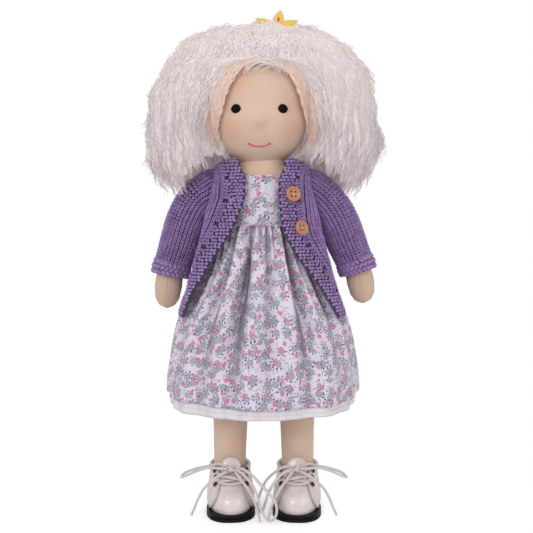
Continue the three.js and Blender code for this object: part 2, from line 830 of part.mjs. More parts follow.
// Points of one front edge, moved outwards by t square to the edge
function edgePoints(word, t) {
  const curve = edgeCurve(word);
  const side = word === "left" ? 1 : -1;
  return Array.from({ length: 15 }, (_, i) => {
    const point = curve.getPointAt(i / 14);
    const along = curve.getTangentAt(i / 14);
    return [side * (point.x - along.y * t), point.y + along.x * t];
  });
}

function frontOpening(tLeft, tRight) {
  const left = edgePoints("left", tLeft);
  const right = edgePoints("right", tRight).reverse();
  const low = [
    [left.at(-1)[0], 0],
    [right[0][0], 0],
  ];
  const high = [
    [right.at(-1)[0], COLLAR_TOP + 20],
    [left[0][0], COLLAR_TOP + 20],
  ];
  return frontPrism([...left, ...low, ...right, ...high].reverse(), -FAR, 0);
}

function hemCut() {
  const front = COLLAR_TOP - CARDIGAN_LENGTH;
  const back = front + CARDIGAN_SIDE_RISE;
  const depth = CARDIGAN_HEM_DEPTH / 2;
  const outline = [
    [-depth - PAST, front],
    [-depth * 0.15, back],
    [depth + PAST, back],
    [depth + PAST, 0],
    [-depth - PAST, 0],
  ];
  const geometry = extruded(outline.map(([y, z]) => new THREE.Vector2(y, z)).reverse(), 2 * FAR);
  return solid(geometry.rotateX(Math.PI / 2).rotateZ(Math.PI / 2).translate(-FAR, 0, 0));
}

function cardigan() {
  const wall = column(cardiganSections, 28, CARDIGAN_POWER)
    .subtract(column(bore(cardiganSections, KNIT_WALL, true, true), 28, CARDIGAN_POWER))
    .subtract(inPlace(limb("left", armStations, GAP, 0, 12), "left"))
    .subtract(inPlace(limb("right", armStations, GAP, 0, 12), "right"))
    .subtract(hemCut());
  const seam = GAP / 2;
  const back = wall.intersect(box(-FAR, FAR, seam, FAR, 0, HAIR_TOP));
  const fronts = wall.subtract(frontOpening(BAND_WIDTH + seam, BAND_WIDTH + seam));
  const reach = BAND_WIDTH - seam;
  const bands = wall.intersect(frontOpening(reach, reach)).subtract(frontOpening(0, 0));
  const leftFront = box(seam, FAR, -FAR, -seam, 0, HAIR_TOP);
  const rightFront = box(-FAR, -seam, -FAR, -seam, 0, HAIR_TOP);
  return [
    piece("cardigan_back", back, "purple_wool"),
    piece("cardigan_front_left", fronts.intersect(leftFront), "purple_wool"),
    piece("cardigan_front_right", fronts.intersect(rightFront), "purple_wool"),
    piece("button_band", bands.intersect(leftFront), "purple_wool"),
    piece("buttonhole_band", bands.intersect(rightFront), "purple_wool"),
  ];
}

// Buttons: dished, with four holes and a cross of thread

function button(word, x, drop) {
  const dish = [
    [0, 0],
    [0.92, 0],
    [1, 0.4],
    [0.9, 1],
    [0.72, 0.9],
    [0.6, 0.55],
    [0, 0.55],
  ].map(([r, h]) => new THREE.Vector2(r * BUTTON_RADIUS, h * BUTTON_THICKNESS));
  const holes = [-1, 1].flatMap((i) => [-1, 1].map((j) => [i, j].map((k) => (k * BUTTON_HOLE_SPACING) / 2)));
  const bored = holes.reduce((made, [hx, hy]) => {
    const hole = new THREE.CylinderGeometry(BUTTON_HOLE_RADIUS, BUTTON_HOLE_RADIUS, 4 * BUTTON_THICKNESS, 6);
    return made.subtract(solid(hole.translate(hx, 0, hy)));
  }, solid(new THREE.LatheGeometry(dish, 18)));
  const reach = BUTTON_HOLE_SPACING / 2 + 0.4;
  const face = 0.55 * BUTTON_THICKNESS + GAP + THREAD_RADIUS;
  const strand = (turn) => {
    const geometry = new THREE.CylinderGeometry(THREAD_RADIUS, THREAD_RADIUS, 2 * Math.SQRT2 * reach, 6);
    return solid(geometry.rotateX(Math.PI / 2).rotateY(turn).translate(0, face, 0));
  };
  const made = group([
    piece(`button_${word}`, bored, "wood"),
    piece(`button_thread_${word}`, strand(Math.PI / 4).add(strand(-Math.PI / 4)), "thread_pink"),
  ]);
  const { point, facing } = frontPoint(cardiganSections, x, COLLAR_TOP - drop, CARDIGAN_POWER);
  made.quaternion.setFromUnitVectors(Y_AXIS, facing);
  made.position.copy(point).addScaledVector(facing, GAP);
  return made;
}

// Leg and foot, hanging from the hip

function leg(name) {
  const heel = -(HIP_HEIGHT - SOLE_WALL - LEATHER_WALL - GAP);
  const shape = (t) => {
    const fitted = [
      { z: heel + 0.2 * FOOT_HEIGHT - t, r: 0.8 * ANKLE_RADIUS },
      { z: heel + 0.5 * FOOT_HEIGHT, r: ANKLE_RADIUS },
      { z: heel + 2.2 * FOOT_HEIGHT, r: ANKLE_RADIUS },
      { z: -0.48 * HIP_HEIGHT, r: CALF_RADIUS },
      { z: 0, r: THIGH_RADIUS },
      { z: 0.55 * THIGH_RADIUS, r: 0.83 * THIGH_RADIUS },
      { z: 0.92 * THIGH_RADIUS, r: 0.39 * THIGH_RADIUS },
      { z: THIGH_RADIUS + t, r: 0.15 * THIGH_RADIUS - t },
    ].map(({ z, r }) => ({ z, a: r + t, b: r + t }));
    const foot = new THREE.SphereGeometry(1, t ? 8 : 10, 5);
    foot.scale(FOOT_WIDTH / 2 + t, FOOT_LENGTH / 2 + t, FOOT_HEIGHT / 2 + t);
    foot.translate(0, ANKLE_RADIUS + 2 - FOOT_LENGTH / 2, heel + FOOT_HEIGHT / 2);
    return column(fitted, t ? 8 : 12).add(solid(foot));
  };
  const seam = upright(SEAM_HOLE_RADIUS, 0, 0, 0.5 * THIGH_RADIUS, THIGH_RADIUS + PAST, 10);
  return stuffed(name, shape, seam);
}

// Shoe: the sole stands on z = 0 under the ankle, with the toe towards -Y

const shoeToe = HEEL_BACK - SHOE_LENGTH;
const shoeRows = [
  [SOLE_WALL, 0.94, 0.985, 0.94],
  [SOLE_WALL + 6, 0.965, 0.98, 0.96],
  [SOLE_WALL + 13, 0.92, 0.88, 0.95],
  [SOLE_WALL + 20, 0.85, 0.66, 0.92],
  [SHOE_COLLAR_HEIGHT, 0.83, 0.43, 0.88],
];

// Upper sections: half width, and the reach to the toe and to the heel
const shoeSections = shoeRows.map(([z, a, toe, heel]) => {
  const front = shoeToe * toe;
  const back = HEEL_BACK * heel;
  return { z: z + GAP, a: (a * SHOE_WIDTH) / 2, b: (back - front) / 2, y: (back + front) / 2 };
});

function sole() {
  const outline = new THREE.Shape();
  const ball = SHOE_WIDTH / 2 + WELT / 2;
  const heel = 0.84 * ball;
  outline.moveTo(ball, -0.26 * SHOE_LENGTH);
  outline.bezierCurveTo(ball, 0, heel, 0.02 * SHOE_LENGTH, heel, 0.12 * SHOE_LENGTH);
  outline.bezierCurveTo(heel, HEEL_BACK * 0.95, 0.5 * heel, HEEL_BACK + WELT, 0, HEEL_BACK + WELT);
  outline.bezierCurveTo(-0.5 * heel, HEEL_BACK + WELT, -heel, HEEL_BACK * 0.95, -heel, 0.12 * SHOE_LENGTH);
  outline.bezierCurveTo(-heel, 0.02 * SHOE_LENGTH, -ball, 0, -ball, -0.26 * SHOE_LENGTH);
  outline.bezierCurveTo(-ball, shoeToe * 0.9, -0.55 * ball, shoeToe - WELT, 0, shoeToe - WELT);
  outline.bezierCurveTo(0.55 * ball, shoeToe - WELT, ball, shoeToe * 0.9, ball, -0.26 * SHOE_LENGTH);
  const options = { depth: SOLE_WALL, bevelEnabled: false, curveSegments: 6 };
  return solid(new THREE.ExtrudeGeometry(outline, options));
}

function shoeUpper(word) {
  const inside = bore(shoeSections, LEATHER_WALL, false, true);
  const wall = column(shoeSections, 20, 2.2).subtract(column(inside, 20, 2.2));
  const throat = box(-THROAT_WIDTH / 2, THROAT_WIDTH / 2, -THROAT_FRONT, 0, 0.55 * SHOE_COLLAR_HEIGHT, FAR);
  const side = THROAT_WIDTH / 2;
  const vampOutline = (t) => [
    [-FAR, -FAR],
    [FAR, -FAR],
    [FAR, 1.4 * (FAR - side) - THROAT_FRONT + t],
    [side, -THROAT_FRONT + t],
    [-side, -THROAT_FRONT + t],
    [-FAR, 1.4 * (FAR - side) - THROAT_FRONT + t],
  ];
  const open = wall.subtract(throat);
  const vamp = open.intersect(levelPrism(vampOutline(0), 0, FAR));
  const quarter = open.subtract(levelPrism(vampOutline(GAP), 0, FAR));
  return [
    piece(`shoe_vamp_${word}`, vamp, "white_patent"),
    piece(`shoe_quarter_${word}`, quarter, "white_patent"),
  ];
}

// The tongue leans back from the throat to the shin
function tongue(word) {
  const low = 0.68 * SHOE_COLLAR_HEIGHT;
  const foot = new THREE.Vector2(-THROAT_FRONT + 1, low);
  const top = new THREE.Vector2(-ANKLE_RADIUS - GAP - LEATHER_WALL, TONGUE_TOP);
  const length = foot.distanceTo(top);
  const wide = THROAT_WIDTH / 2 - GAP;
  const shape = new THREE.Shape();
  shape.moveTo(-wide, 0);
  shape.lineTo(wide, 0);
  shape.lineTo(wide, length - wide);
  shape.absarc(0, length - wide, wide, 0, Math.PI, false);
  const options = { depth: LEATHER_WALL, bevelEnabled: false, curveSegments: 8 };
  const geometry = new THREE.ExtrudeGeometry(shape, options);
  const lean = Math.atan2(top.y - foot.y, top.x - foot.x);
  geometry.translate(0, 0, -LEATHER_WALL / 2).rotateX(lean).translate(0, foot.x, foot.y);
  return piece(`shoe_tongue_${word}`, solid(geometry), "white_patent");
}

// Where the lace lies: eyelet rows up the throat, on the flaps
const laceRow = (i) => {
  const t = i / (LACE_ROWS - 1);
  return {
    x: THROAT_WIDTH / 2 + 2,
    y: THREE.MathUtils.lerp(-THROAT_FRONT - 2.5, -ANKLE_RADIUS - 6.5, t),
    z: THREE.MathUtils.lerp(0.8 * SHOE_COLLAR_HEIGHT, SHOE_COLLAR_HEIGHT + 1.5, t),
  };
};

// Where two strands cross between rows, lifted off the tongue
function laceCross(i, lift) {
  const [low, high] = [laceRow(i), laceRow(i + 1)];
  return [0, (low.y + high.y) / 2 - 2 - lift, (low.z + high.z) / 2 + lift];
}

const LACE_LIFT = 1.1;
const LACE_RISE = LACE_RADIUS + 0.35;

function lacing(word) {
  const rise = LACE_RISE;
  const points = [];
  const at = (i, side, lift) => {
    const { x, y, z } = laceRow(i);
    points.push([side * x, y - lift, z + lift]);
  };
  const cross = (i, lift) => points.push(laceCross(i, lift));
  for (let i = LACE_ROWS - 1; i > 0; i--) {
    at(i, i % 2 ? 1 : -1, LACE_LIFT);
    cross(i - 1, 1.2 + rise);
  }
  at(0, LACE_ROWS % 2 ? -1 : 1, LACE_LIFT);
  points.push([0, laceRow(0).y - 2.1, laceRow(0).z - 1]);
  at(0, LACE_ROWS % 2 ? 1 : -1, LACE_LIFT);
  for (let i = 1; i < LACE_ROWS; i++) {
    cross(i - 1, 1.2 - rise);
    at(i, i % 2 ? -1 : 1, LACE_LIFT);
  }
  return piece(`lacing_${word}`, solid(cord(points, LACE_RADIUS, 24, 5)), "lace_white");
}

const knotRise = 1.2 + LACE_RISE + (LACE_RADIUS + GAP + 0.95 * KNOT_RADIUS) / Math.SQRT2;
const knotPlace = laceCross(LACE_ROWS - 2, knotRise);

function knot(word) {
  const geometry = new THREE.SphereGeometry(KNOT_RADIUS, 10, 7);
  geometry.scale(1.25, 0.9, 0.9).translate(...knotPlace);
  return piece(`knot_${word}`, solid(geometry), "lace_white");
}

// Free lace, in each shoe's own frame with +X away from the other shoe
const laceRoutes = {
  loop_outer: [
    [3.1, -29.6, 38],
    [10, -29.4, 38.6],
    [19, -25.5, 37.8],
    [29, -22.5, 34],
    [36, -21, 30.6],
    [39.5, -17, 28.6],
    [36.5, -13, 30.6],
    [28, -15.5, 34.4],
    [18, -20.5, 37.8],
    [9.5, -25, 40.8],
    [2.7, -27.3, 39],
  ],
  tail_outer: [
    [2.7, -28.6, 35.9],
    [9, -31.3, 34],
    [15.5, -31, 29.5],
    [21.5, -29.5, 23],
    [26, -27.5, 14.5],
    [29.2, -26.5, 6.5],
    [31.5, -26, 1.3],
  ],
  loop_inner: [
    [-3.1, -29.6, 38],
    [-9.5, -33.3, 34.5],
    [-16, -37.5, 27.5],
    [-20, -41, 19],
    [-22.5, -44, 10.5],
    [-26.5, -46.5, 4.2],
    [-31, -47.5, 3.6],
    [-34, -47, 9.5],
    [-33, -45.5, 17],
    [-28.5, -43, 22.5],
    [-22, -39.5, 28.8],
    [-13, -33.4, 36.4],
    [-3.2, -27.6, 39.2],
  ],
  tail_inner: [
    [-2.7, -28.6, 35.9],
    [-8, -32.6, 29.5],
    [-13.5, -37, 23],
    [-17.5, -40, 15.5],
    [-20, -42.5, 8],
    [-21.5, -43.5, 1.4],
  ],
};

// The left shoe's inner loop is shorter and hangs beside the sole
const leftLoopInner = [
  [-3.1, -29.6, 38],
  [-9.5, -31.6, 35.5],
  [-16.5, -33.5, 29],
  [-21.5, -34.5, 20.5],
  [-24.5, -35, 11.5],
  [-27, -34, 5.4],
  [-30, -31, 6],
  [-30, -28.5, 12.5],
  [-27.5, -27.5, 20.5],
  [-23, -27, 28.5],
  [-16, -27, 35],
  [-9.5, -27.5, 38.8],
  [-2.7, -27.3, 39],
];

function freeLaces(word) {
  const routes = word === "left" ? { ...laceRoutes, loop_inner: leftLoopInner } : laceRoutes;
  return Object.entries(routes).map(([name, points]) => {
    const steps = name.startsWith("loop") ? 16 : 8;
    return piece(`lace_${name}_${word}`, solid(cord(points, LACE_RADIUS, steps, 6)), "lace_white");
  });
}

function shoe(word) {
  return [
    piece(`shoe_sole_${word}`, sole(), "black_rubber"),
    ...shoeUpper(word),
    tongue(word),
    lacing(word),
    knot(word),
    ...freeLaces(word),
  ];
}

function legGroup(word, side) {
  const shoeMade = group(shoe(word), [0, 0, -HIP_HEIGHT]);
  shoeMade.rotation.z = -radians(TOE_IN);
  const hip = [HIP_OFFSET + (side * HIP_SPACING) / 2, 0, HIP_HEIGHT];
  const made = group([...leg(`leg_${word}`), shoeMade], hip);
  made.scale.x = side;
  return made;
}

const face = [...head(), eye("eye_left", 1), eye("eye_right", -1), mouth()];

const doll = group([
  ...torso(),
  bodice(),
  ...skirt(),
  ...cardigan(),
  ...["upper", "lower"].map((word, i) => button(word, BUTTON_XS[i], BUTTON_DROPS[i])),
  armGroup("left"),
  armGroup("right"),
  legGroup("left", 1),
  legGroup("right", -1),
  group([...face, wigCap(), ...hair(), clip()], [HEAD_OFFSET, 0, 0]),
]);

export default doll;
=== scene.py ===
"""The looks of a stuffed cloth doll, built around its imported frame.

Sizes are in millimetres until a piece is finished, which turns its mesh into metres. The doll faces -Y,
+Z is up and +X is the doll's own left side.
"""

import logging
import math
import random
from dataclasses import dataclass, field, replace
from enum import Enum
from typing import Callable, Iterable, Sequence

import bmesh
import bpy
import numpy as np
from mathutils import Matrix, Vector


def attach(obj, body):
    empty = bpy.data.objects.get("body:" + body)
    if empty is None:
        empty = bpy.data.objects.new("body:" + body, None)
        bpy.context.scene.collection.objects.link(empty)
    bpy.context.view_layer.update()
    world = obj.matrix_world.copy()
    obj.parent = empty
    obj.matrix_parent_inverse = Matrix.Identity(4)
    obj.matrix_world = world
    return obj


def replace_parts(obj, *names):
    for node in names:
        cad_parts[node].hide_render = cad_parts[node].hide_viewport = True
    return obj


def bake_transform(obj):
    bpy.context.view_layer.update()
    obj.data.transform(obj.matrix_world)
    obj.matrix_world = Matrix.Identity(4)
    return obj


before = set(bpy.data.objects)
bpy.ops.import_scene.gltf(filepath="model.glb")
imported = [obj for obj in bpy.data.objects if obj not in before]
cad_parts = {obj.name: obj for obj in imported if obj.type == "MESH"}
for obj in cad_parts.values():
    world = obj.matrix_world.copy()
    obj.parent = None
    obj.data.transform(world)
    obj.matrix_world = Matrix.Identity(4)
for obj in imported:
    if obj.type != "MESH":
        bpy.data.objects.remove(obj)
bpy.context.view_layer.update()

log = logging.getLogger("doll")

MM = 0.001
TURN = 2 * math.pi
SIDES = {"left": 1, "right": -1}
UV_OUTPUT = 2
OBJECT_OUTPUT = 3

Place = Callable[[float, float], Vector]
Colour = tuple[float, float, float, float]


def linear(code: str) -> Colour:
    """The linear colour of an sRGB code such as e6cdb4."""
    parts = [int(code[i : i + 2], 16) / 255 for i in (0, 2, 4)]
    return (*(c / 12.92 if c <= 0.04045 else ((c + 0.055) / 1.055) ** 2.4 for c in parts), 1.0)


def blended(a: float, b: float, share: float) -> float:
    """The value at a share of the way from a to b."""
    return a + (b - a) * share


def eased(value: float, low: float, high: float) -> float:
    """How far value is from low to high, from 0 to 1, with soft ends."""
    t = min(1.0, max(0.0, (value - low) / (high - low)))
    return t * t * (3 - 2 * t)


def signed_power(value: float, power: float) -> float:
    """A power of the value's size that keeps its sign."""
    return math.copysign(abs(value) ** power, value)


def curve(t: float, start: float, leave: float, end: float, arrive: float) -> float:
    """The cubic, also of vectors, that leaves and arrives at the given slopes.

    Args:
        t: the share of the way.
        start: where it starts.
        leave: its slope there.
        end: where it ends.
        arrive: its slope there.

    Returns:
        The value there.
    """
    return (
        (2 * t**3 - 3 * t**2 + 1) * start
        + (t**3 - 2 * t**2 + t) * leave
        + (3 * t**2 - 2 * t**3) * end
        + (t**3 - t**2) * arrive
    )


def runs(line: np.ndarray) -> np.ndarray:
    """How far along a line each of its points is."""
    return np.concatenate([[0], np.cumsum(np.linalg.norm(np.diff(line, axis=0), axis=1))])


def frame_at(centre: Vector, across: Vector, up: Vector, out: Vector) -> Matrix:
    """The frame at a point whose X, Y and Z run across, up and out."""
    return Matrix([[across[i], up[i], out[i], centre[i]] for i in range(3)] + [[0, 0, 0, 1]])


def seat_on(centre: Vector, facing: Vector) -> Matrix:
    """The upright frame at a point, whose own Z axis faces out of a surface."""
    across = Vector((0, 0, 1)).cross(facing).normalized()
    return frame_at(centre, across, facing.cross(across), facing)


# Shader helpers


class Value:
    """A shader socket whose sums and products add their own Math nodes."""

    def __init__(self, nodes: "Nodes", socket: bpy.types.NodeSocket) -> None:
        """Keeps the socket and the nodes that it belongs to."""
        self.nodes = nodes
        self.socket = socket

    def maths(self, operation: str, *others: "Value | float", first: bool = True) -> "Value":
        """Adds a Math node.

        Args:
            operation: the Math node's operation.
            others: its other operands.
            first: whether this value is the first operand.

        Returns:
            The node's value.
        """
        operands = (self, *others) if first else (*others, self)
        return self.nodes.node("Math", {"operation": operation}, dict(enumerate(operands)))

    def __add__(self, other: "Value | float") -> "Value":
        """This value plus another."""
        return self.maths("ADD", other)

    __radd__ = __add__

    def __sub__(self, other: "Value | float") -> "Value":
        """This value less another."""
        return self.maths("SUBTRACT", other)

    def __rsub__(self, other: float) -> "Value":
        """A number less this value."""
        return self.maths("SUBTRACT", other, first=False)

    def __mul__(self, other: "Value | float") -> "Value":
        """This value times another."""
        return self.maths("MULTIPLY", other)

    __rmul__ = __mul__

    def __abs__(self) -> "Value":
        """This value's size."""
        return self.maths("ABSOLUTE")

    def sine(self, length: float = TURN) -> "Value":
        """A wave of so many millimetres along this value."""
        return (self * (TURN / length)).maths("SINE")

    def soft(self, low: float, high: float) -> "Value":
        """A mask that rises from 0 at low to 1 at high, or falls where low is the larger.

        Args:
            low: where the mask is 0.
            high: where it is 1.

        Returns:
            The mask.
        """
        settings = {"interpolation_type": "SMOOTHSTEP"}
        if low <= high:
            return self.nodes.node("MapRange", settings, {0: self, 1: low, 2: high, 3: 0.0, 4: 1.0})
        return self.nodes.node("MapRange", settings, {0: self, 1: high, 2: low, 3: 1.0, 4: 0.0})


class Nodes:
    """The nodes of a material or a world."""

    def __init__(self, tree: bpy.types.NodeTree) -> None:
        """Keeps the tree that the nodes stand in."""
        self.tree = tree

    def node(self, kind: str, settings: dict | None = None, inputs: dict | None = None, output: int = 0) -> Value:
        """Adds any node.

        Args:
            kind: the node's type, without ShaderNode in front.
            settings: its properties, which are set first.
            inputs: values or links of its sockets, by name or place.
            output: which output to return.

        Returns:
            That output.
        """
        made = self.tree.nodes.new(f"ShaderNode{kind}")
        for key, value in (settings or {}).items():
            setattr(made, key, value)
        for key, value in (inputs or {}).items():
            if isinstance(value, Value):
                self.tree.links.new(value.socket, made.inputs[key])
            else:
                made.inputs[key].default_value = value
        return Value(self, made.outputs[output])


class Shader(Nodes):
    """One material's nodes, ending in a Principled shader."""

    def __init__(self, name: str, **constants: float | Colour) -> None:
        """Starts a material.

        Args:
            name: the material's name.
            constants: values of the Principled shader's sockets, with _ for a space.
        """
        self.material = bpy.data.materials.new(name)
        self.material.use_nodes = True
        super().__init__(self.material.node_tree)
        self.surface = next(n for n in self.tree.nodes if n.type == "BSDF_PRINCIPLED")
        for socket, value in constants.items():
            self.surface.inputs[socket.replace("_", " ")].default_value = value

    def sized(self, vector: Value, scale: float) -> Value:
        """A vector times a number."""
        return self.node("VectorMath", {"operation": "SCALE"}, {0: vector, 3: scale})

    def moved(self, vector: Value, by: Sequence[float]) -> Value:
        """A vector moved by a constant."""
        return self.node("VectorMath", {"operation": "ADD"}, {0: vector, 1: by})

    def place(self) -> Value:
        """Where the surface is, in millimetres of the doll's frame."""
        return self.sized(self.node("TexCoord", output=OBJECT_OUTPUT), 1 / MM)

    def cloth(self) -> Value:
        """Where on the flat cloth the surface is, in millimetres."""
        return self.sized(self.node("TexCoord", output=UV_OUTPUT), 1 / MM)

    def parts(self, vector: Value) -> tuple[Value, Value, Value]:
        """The three numbers of a vector."""
        split = self.node("SeparateXYZ", inputs={0: vector}).socket.node
        return tuple(Value(self, socket) for socket in split.outputs)

    def vector(self, x: Value | float, y: Value | float, z: Value | float = 0.0) -> Value:
        """A vector of three numbers."""
        return self.node("CombineXYZ", inputs={0: x, 1: y, 2: z})

    def noise(self, vector: Value, size: float, detail: float = 2.0, roughness: float = 0.5) -> Value:
        """Cloudy noise whose spots are about size millimetres across."""
        inputs = {"Vector": vector, "Scale": 1 / size, "Detail": detail, "Roughness": roughness}
        return self.node("TexNoise", {"noise_dimensions": "3D"}, inputs)

    def mix(self, share: Value | float, a: Value | str, b: Value | str) -> Value:
        """A colour between two colours, each a value or an sRGB code."""
        a, b = (linear(c) if isinstance(c, str) else c for c in (a, b))
        return self.node("Mix", {"data_type": "RGBA"}, {0: share, 6: a, 7: b}, output=2)

    def bump(self, height: Value, depth: float, strength: float = 1.0) -> Value:
        """A normal that stands up by depth millimetres where height is 1."""
        return self.node("Bump", inputs={"Strength": strength, "Distance": depth * MM, "Height": height})

    def set(self, **links: Value) -> bpy.types.Material:
        """Links values to the Principled shader and returns the material.

        Args:
            links: values for the sockets, by name with _ for a space.

        Returns:
            The material.
        """
        for socket, value in links.items():
            self.tree.links.new(value.socket, self.surface.inputs[socket.replace("_", " ")])
        return self.material


# Finishes


@dataclass(frozen=True)
class Finish:
    """A finish of the doll, which makes its material once."""

    name: str
    slot: str

    def material(self) -> bpy.types.Material:
        """The finish's material."""
        return bpy.data.materials.get(self.name) or self.made()

    def made(self) -> bpy.types.Material:
        """Makes the material."""
        raise NotImplementedError


@dataclass(frozen=True)
class Jersey(Finish):
    """Fine knitted cotton jersey over stuffing, with blushes given as x, y, z, radius and strength."""

    colour: str = "dfc2ab"
    warm: str = "d6ab95"
    blushes: tuple[tuple[float, float, float, float, float], ...] = ()

    def made(self) -> bpy.types.Material:
        """Makes the material.

        Returns:
            The material.
        """
        shader = Shader(self.name, Roughness=0.82, Sheen_Weight=0.12, Sheen_Roughness=0.6)
        place = shader.place()
        colour = shader.mix(shader.noise(place, 28).soft(0.42, 0.7) * 0.35, self.colour, self.warm)
        for x, y, z, radius, strength in self.blushes:
            away = shader.node("VectorMath", {"operation": "DISTANCE"}, {0: place, 1: (x, y, z)}, output=1)
            colour = shader.mix(away.soft(radius, 0) * strength, colour, "dd8f7e")
        x, y, z = shader.parts(place)
        grain = shader.noise(place, 0.5, 1) + (x + y).sine(0.8) * z.sine(0.62) * 0.5
        fleck = shader.mix(shader.noise(place, 0.8, 2).soft(0.35, 0.75) * 0.16, colour, "f3dcc2")
        return shader.set(Base_Color=fleck, Normal=shader.bump(grain, 0.12, 0.5))


@dataclass(frozen=True)
class Print(Finish):
    """Woven cotton with a small scattered print of blossoms, roses and sprigs, darkened in the skirt's deep folds and
    gathers as painted shade.
    """

    ground: str = "e5deea"
    shade: str = "d6cede"
    grey: str = "9697a6"
    pale_grey: str = "b5b6c2"
    pink: str = "cb6e90"
    pale_pink: str = "dc9fb2"
    mauve: str = "8c7193"
    dark: str = "553f5f"

    def cells(self, shader: Shader, cloth: Value, cell: float, shift: float) -> dict[str, Value]:
        """One scatter of motifs over the cloth.

        Args:
            shader: the shader.
            cloth: millimetres on the flat cloth.
            cell: how far apart the motifs are.
            shift: moves the scatter, so that no two agree.

        Returns:
            Each motif's own x and y in millimetres, its distance r, its angle, and two random numbers.
        """
        spot = shader.moved(shader.sized(cloth, 1 / cell), (shift, 1.7 * shift, 0))
        settings = {"voronoi_dimensions": "2D", "feature": "F1"}
        made = shader.node("TexVoronoi", settings, {"Vector": spot, "Scale": 1.0, "Randomness": 0.85}).socket.node
        away, tint, centre = (Value(shader, socket) for socket in made.outputs[:3])
        offset = shader.node("VectorMath", {"operation": "SUBTRACT"}, {0: spot, 1: centre})
        x, y, _ = shader.parts(shader.sized(offset, cell))
        first, second, _ = shader.parts(tint)
        return {"x": x, "y": y, "r": away * cell, "angle": y.maths("ARCTAN2", x), "one": first, "two": second}

    def petals(self, spot: dict[str, Value], radius: float, count: int) -> Value:
        """A mask of a round blossom with notched petals."""
        wave = abs((spot["angle"] * (count / 2) + spot["two"] * TURN).maths("COSINE"))
        return ((wave * 0.3 + 0.7) * radius - spot["r"]).soft(-0.25, 0.15)

    def rays(self, spot: dict[str, Value], inner: float, outer: float, count: int) -> Value:
        """A mask of short dashes that stand out round part of a blossom.

        Args:
            spot: a scatter of motifs.
            inner: where the dashes start.
            outer: where they end.
            count: how many there are.

        Returns:
            The mask.
        """
        turn = spot["angle"] + spot["two"] * TURN
        dash = (turn * count).maths("COSINE").soft(0.1, 0.75)
        ring = spot["r"].soft(inner, inner + 0.3) * spot["r"].soft(outer, outer - 0.3)
        return dash * ring * turn.maths("SINE").soft(-0.1, 0.15)

    def dashes(self, spot: dict[str, Value], length: float, width: float) -> Value:
        """A mask of one small slanting dash.

        Args:
            spot: a scatter of motifs.
            length: half the dash's length.
            width: half its width.

        Returns:
            The mask.
        """
        turn = spot["two"] * (TURN * 3)
        cosine, sine = turn.maths("COSINE"), turn.maths("SINE")
        along = spot["x"] * cosine + spot["y"] * sine
        across = spot["y"] * cosine - spot["x"] * sine
        return (width - abs(across) - abs(along) * (width / length)).soft(-0.08, 0.14)

    def made(self) -> bpy.types.Material:
        """Makes the material.

        Returns:
            The material.
        """
        shader = Shader(self.name, Roughness=0.78, Sheen_Weight=0.1, Sheen_Roughness=0.5)
        cloth = shader.cloth()
        colour = shader.mix(shader.noise(cloth, 30), self.ground, self.shade)
        blossoms = [self.cells(shader, cloth, 10.4, 1.3), self.cells(shader, cloth, 8.3, 5.1)]
        for cell, shift, length, width, share, tone in (
            (2.7, 3.3, 1.5, 0.36, 0.4, self.dark),
            (3.1, 8.9, 1.3, 0.34, 0.42, self.mauve),
            (4.3, 6.1, 1.2, 0.4, 0.55, self.pink),
        ):
            spot = self.cells(shader, cloth, cell, shift)
            near = blossoms[0]["r"].soft(6.5, 3.5) * 0.5 + 0.5
            shown = self.dashes(spot, length, width) * (spot["one"] * near).soft(share - 0.05, share)
            colour = shader.mix(shown * 0.85, colour, tone)
        for spot, radius, share in ((blossoms[0], 2.9, 0.15), (blossoms[1], 2.2, 0.3)):
            here = spot["one"].soft(share, share + 0.02)
            colour = shader.mix(self.rays(spot, radius, radius + 1.6, 7) * here, colour, self.dark)
            heart = spot["r"].soft(1.1, 0.4) * 0.7 + shader.noise(cloth, 0.8, 2).soft(0.4, 0.7) * 0.4
            grey = shader.mix(heart, self.grey, self.pale_grey)
            colour = shader.mix(self.petals(spot, radius, 5) * here * 0.9, colour, grey)
        for cell, shift, radius, share in ((9.6, 7.7, 1.8, 0.3), (8.0, 2.9, 1.1, 0.55)):
            spot = self.cells(shader, cloth, cell, shift)
            shown = self.petals(spot, radius, 6) * spot["one"].soft(share, share + 0.02)
            swirl = (spot["r"] * (TURN / 1.25) + spot["angle"]).maths("SINE").soft(-0.4, 0.5)
            colour = shader.mix(shown, colour, shader.mix(swirl * 0.75, self.pink, self.pale_pink))
        # Painted shade: the skirt's fold attribute darkens the print in its deep folds and gathers.
        fold = shader.node("Attribute", {"attribute_name": "fold"}, output=2)
        colour = shader.mix(fold * 0.8, colour, "5b5265")
        u, v, _ = shader.parts(cloth)
        slubs = shader.noise(shader.vector(u * 0.25, v), 0.9, 1)
        height = u.sine(0.5) * v.sine(0.5) * 0.06 + slubs * 0.1 + shader.noise(cloth, 16, 3) * 0.9
        return shader.set(Base_Color=colour, Normal=shader.bump(height, 0.9, 0.45))


@dataclass(frozen=True)
class PlainCotton(Finish):
    """Plain woven cotton with a stitched hem."""

    colour: str = "e8e2ea"
    shade: str = "d8d1dc"

    def made(self) -> bpy.types.Material:
        """Makes the material.

        Returns:
            The material.
        """
        shader = Shader(self.name, Roughness=0.8, Sheen_Weight=0.1, Sheen_Roughness=0.5)
        cloth = shader.cloth()
        u, v, _ = shader.parts(cloth)
        streaks = shader.noise(shader.vector(u * 0.6, v * 0.12), 3, 3)
        colour = shader.mix(streaks.soft(0.35, 0.7) * 0.7, self.colour, self.shade)
        weave = shader.noise(shader.vector(u, v * 0.3), 0.5, 1) + shader.noise(shader.vector(u * 0.3, v), 0.5, 1)
        return shader.set(Base_Color=colour, Normal=shader.bump(weave * 0.15 + streaks, 0.7, 0.5))


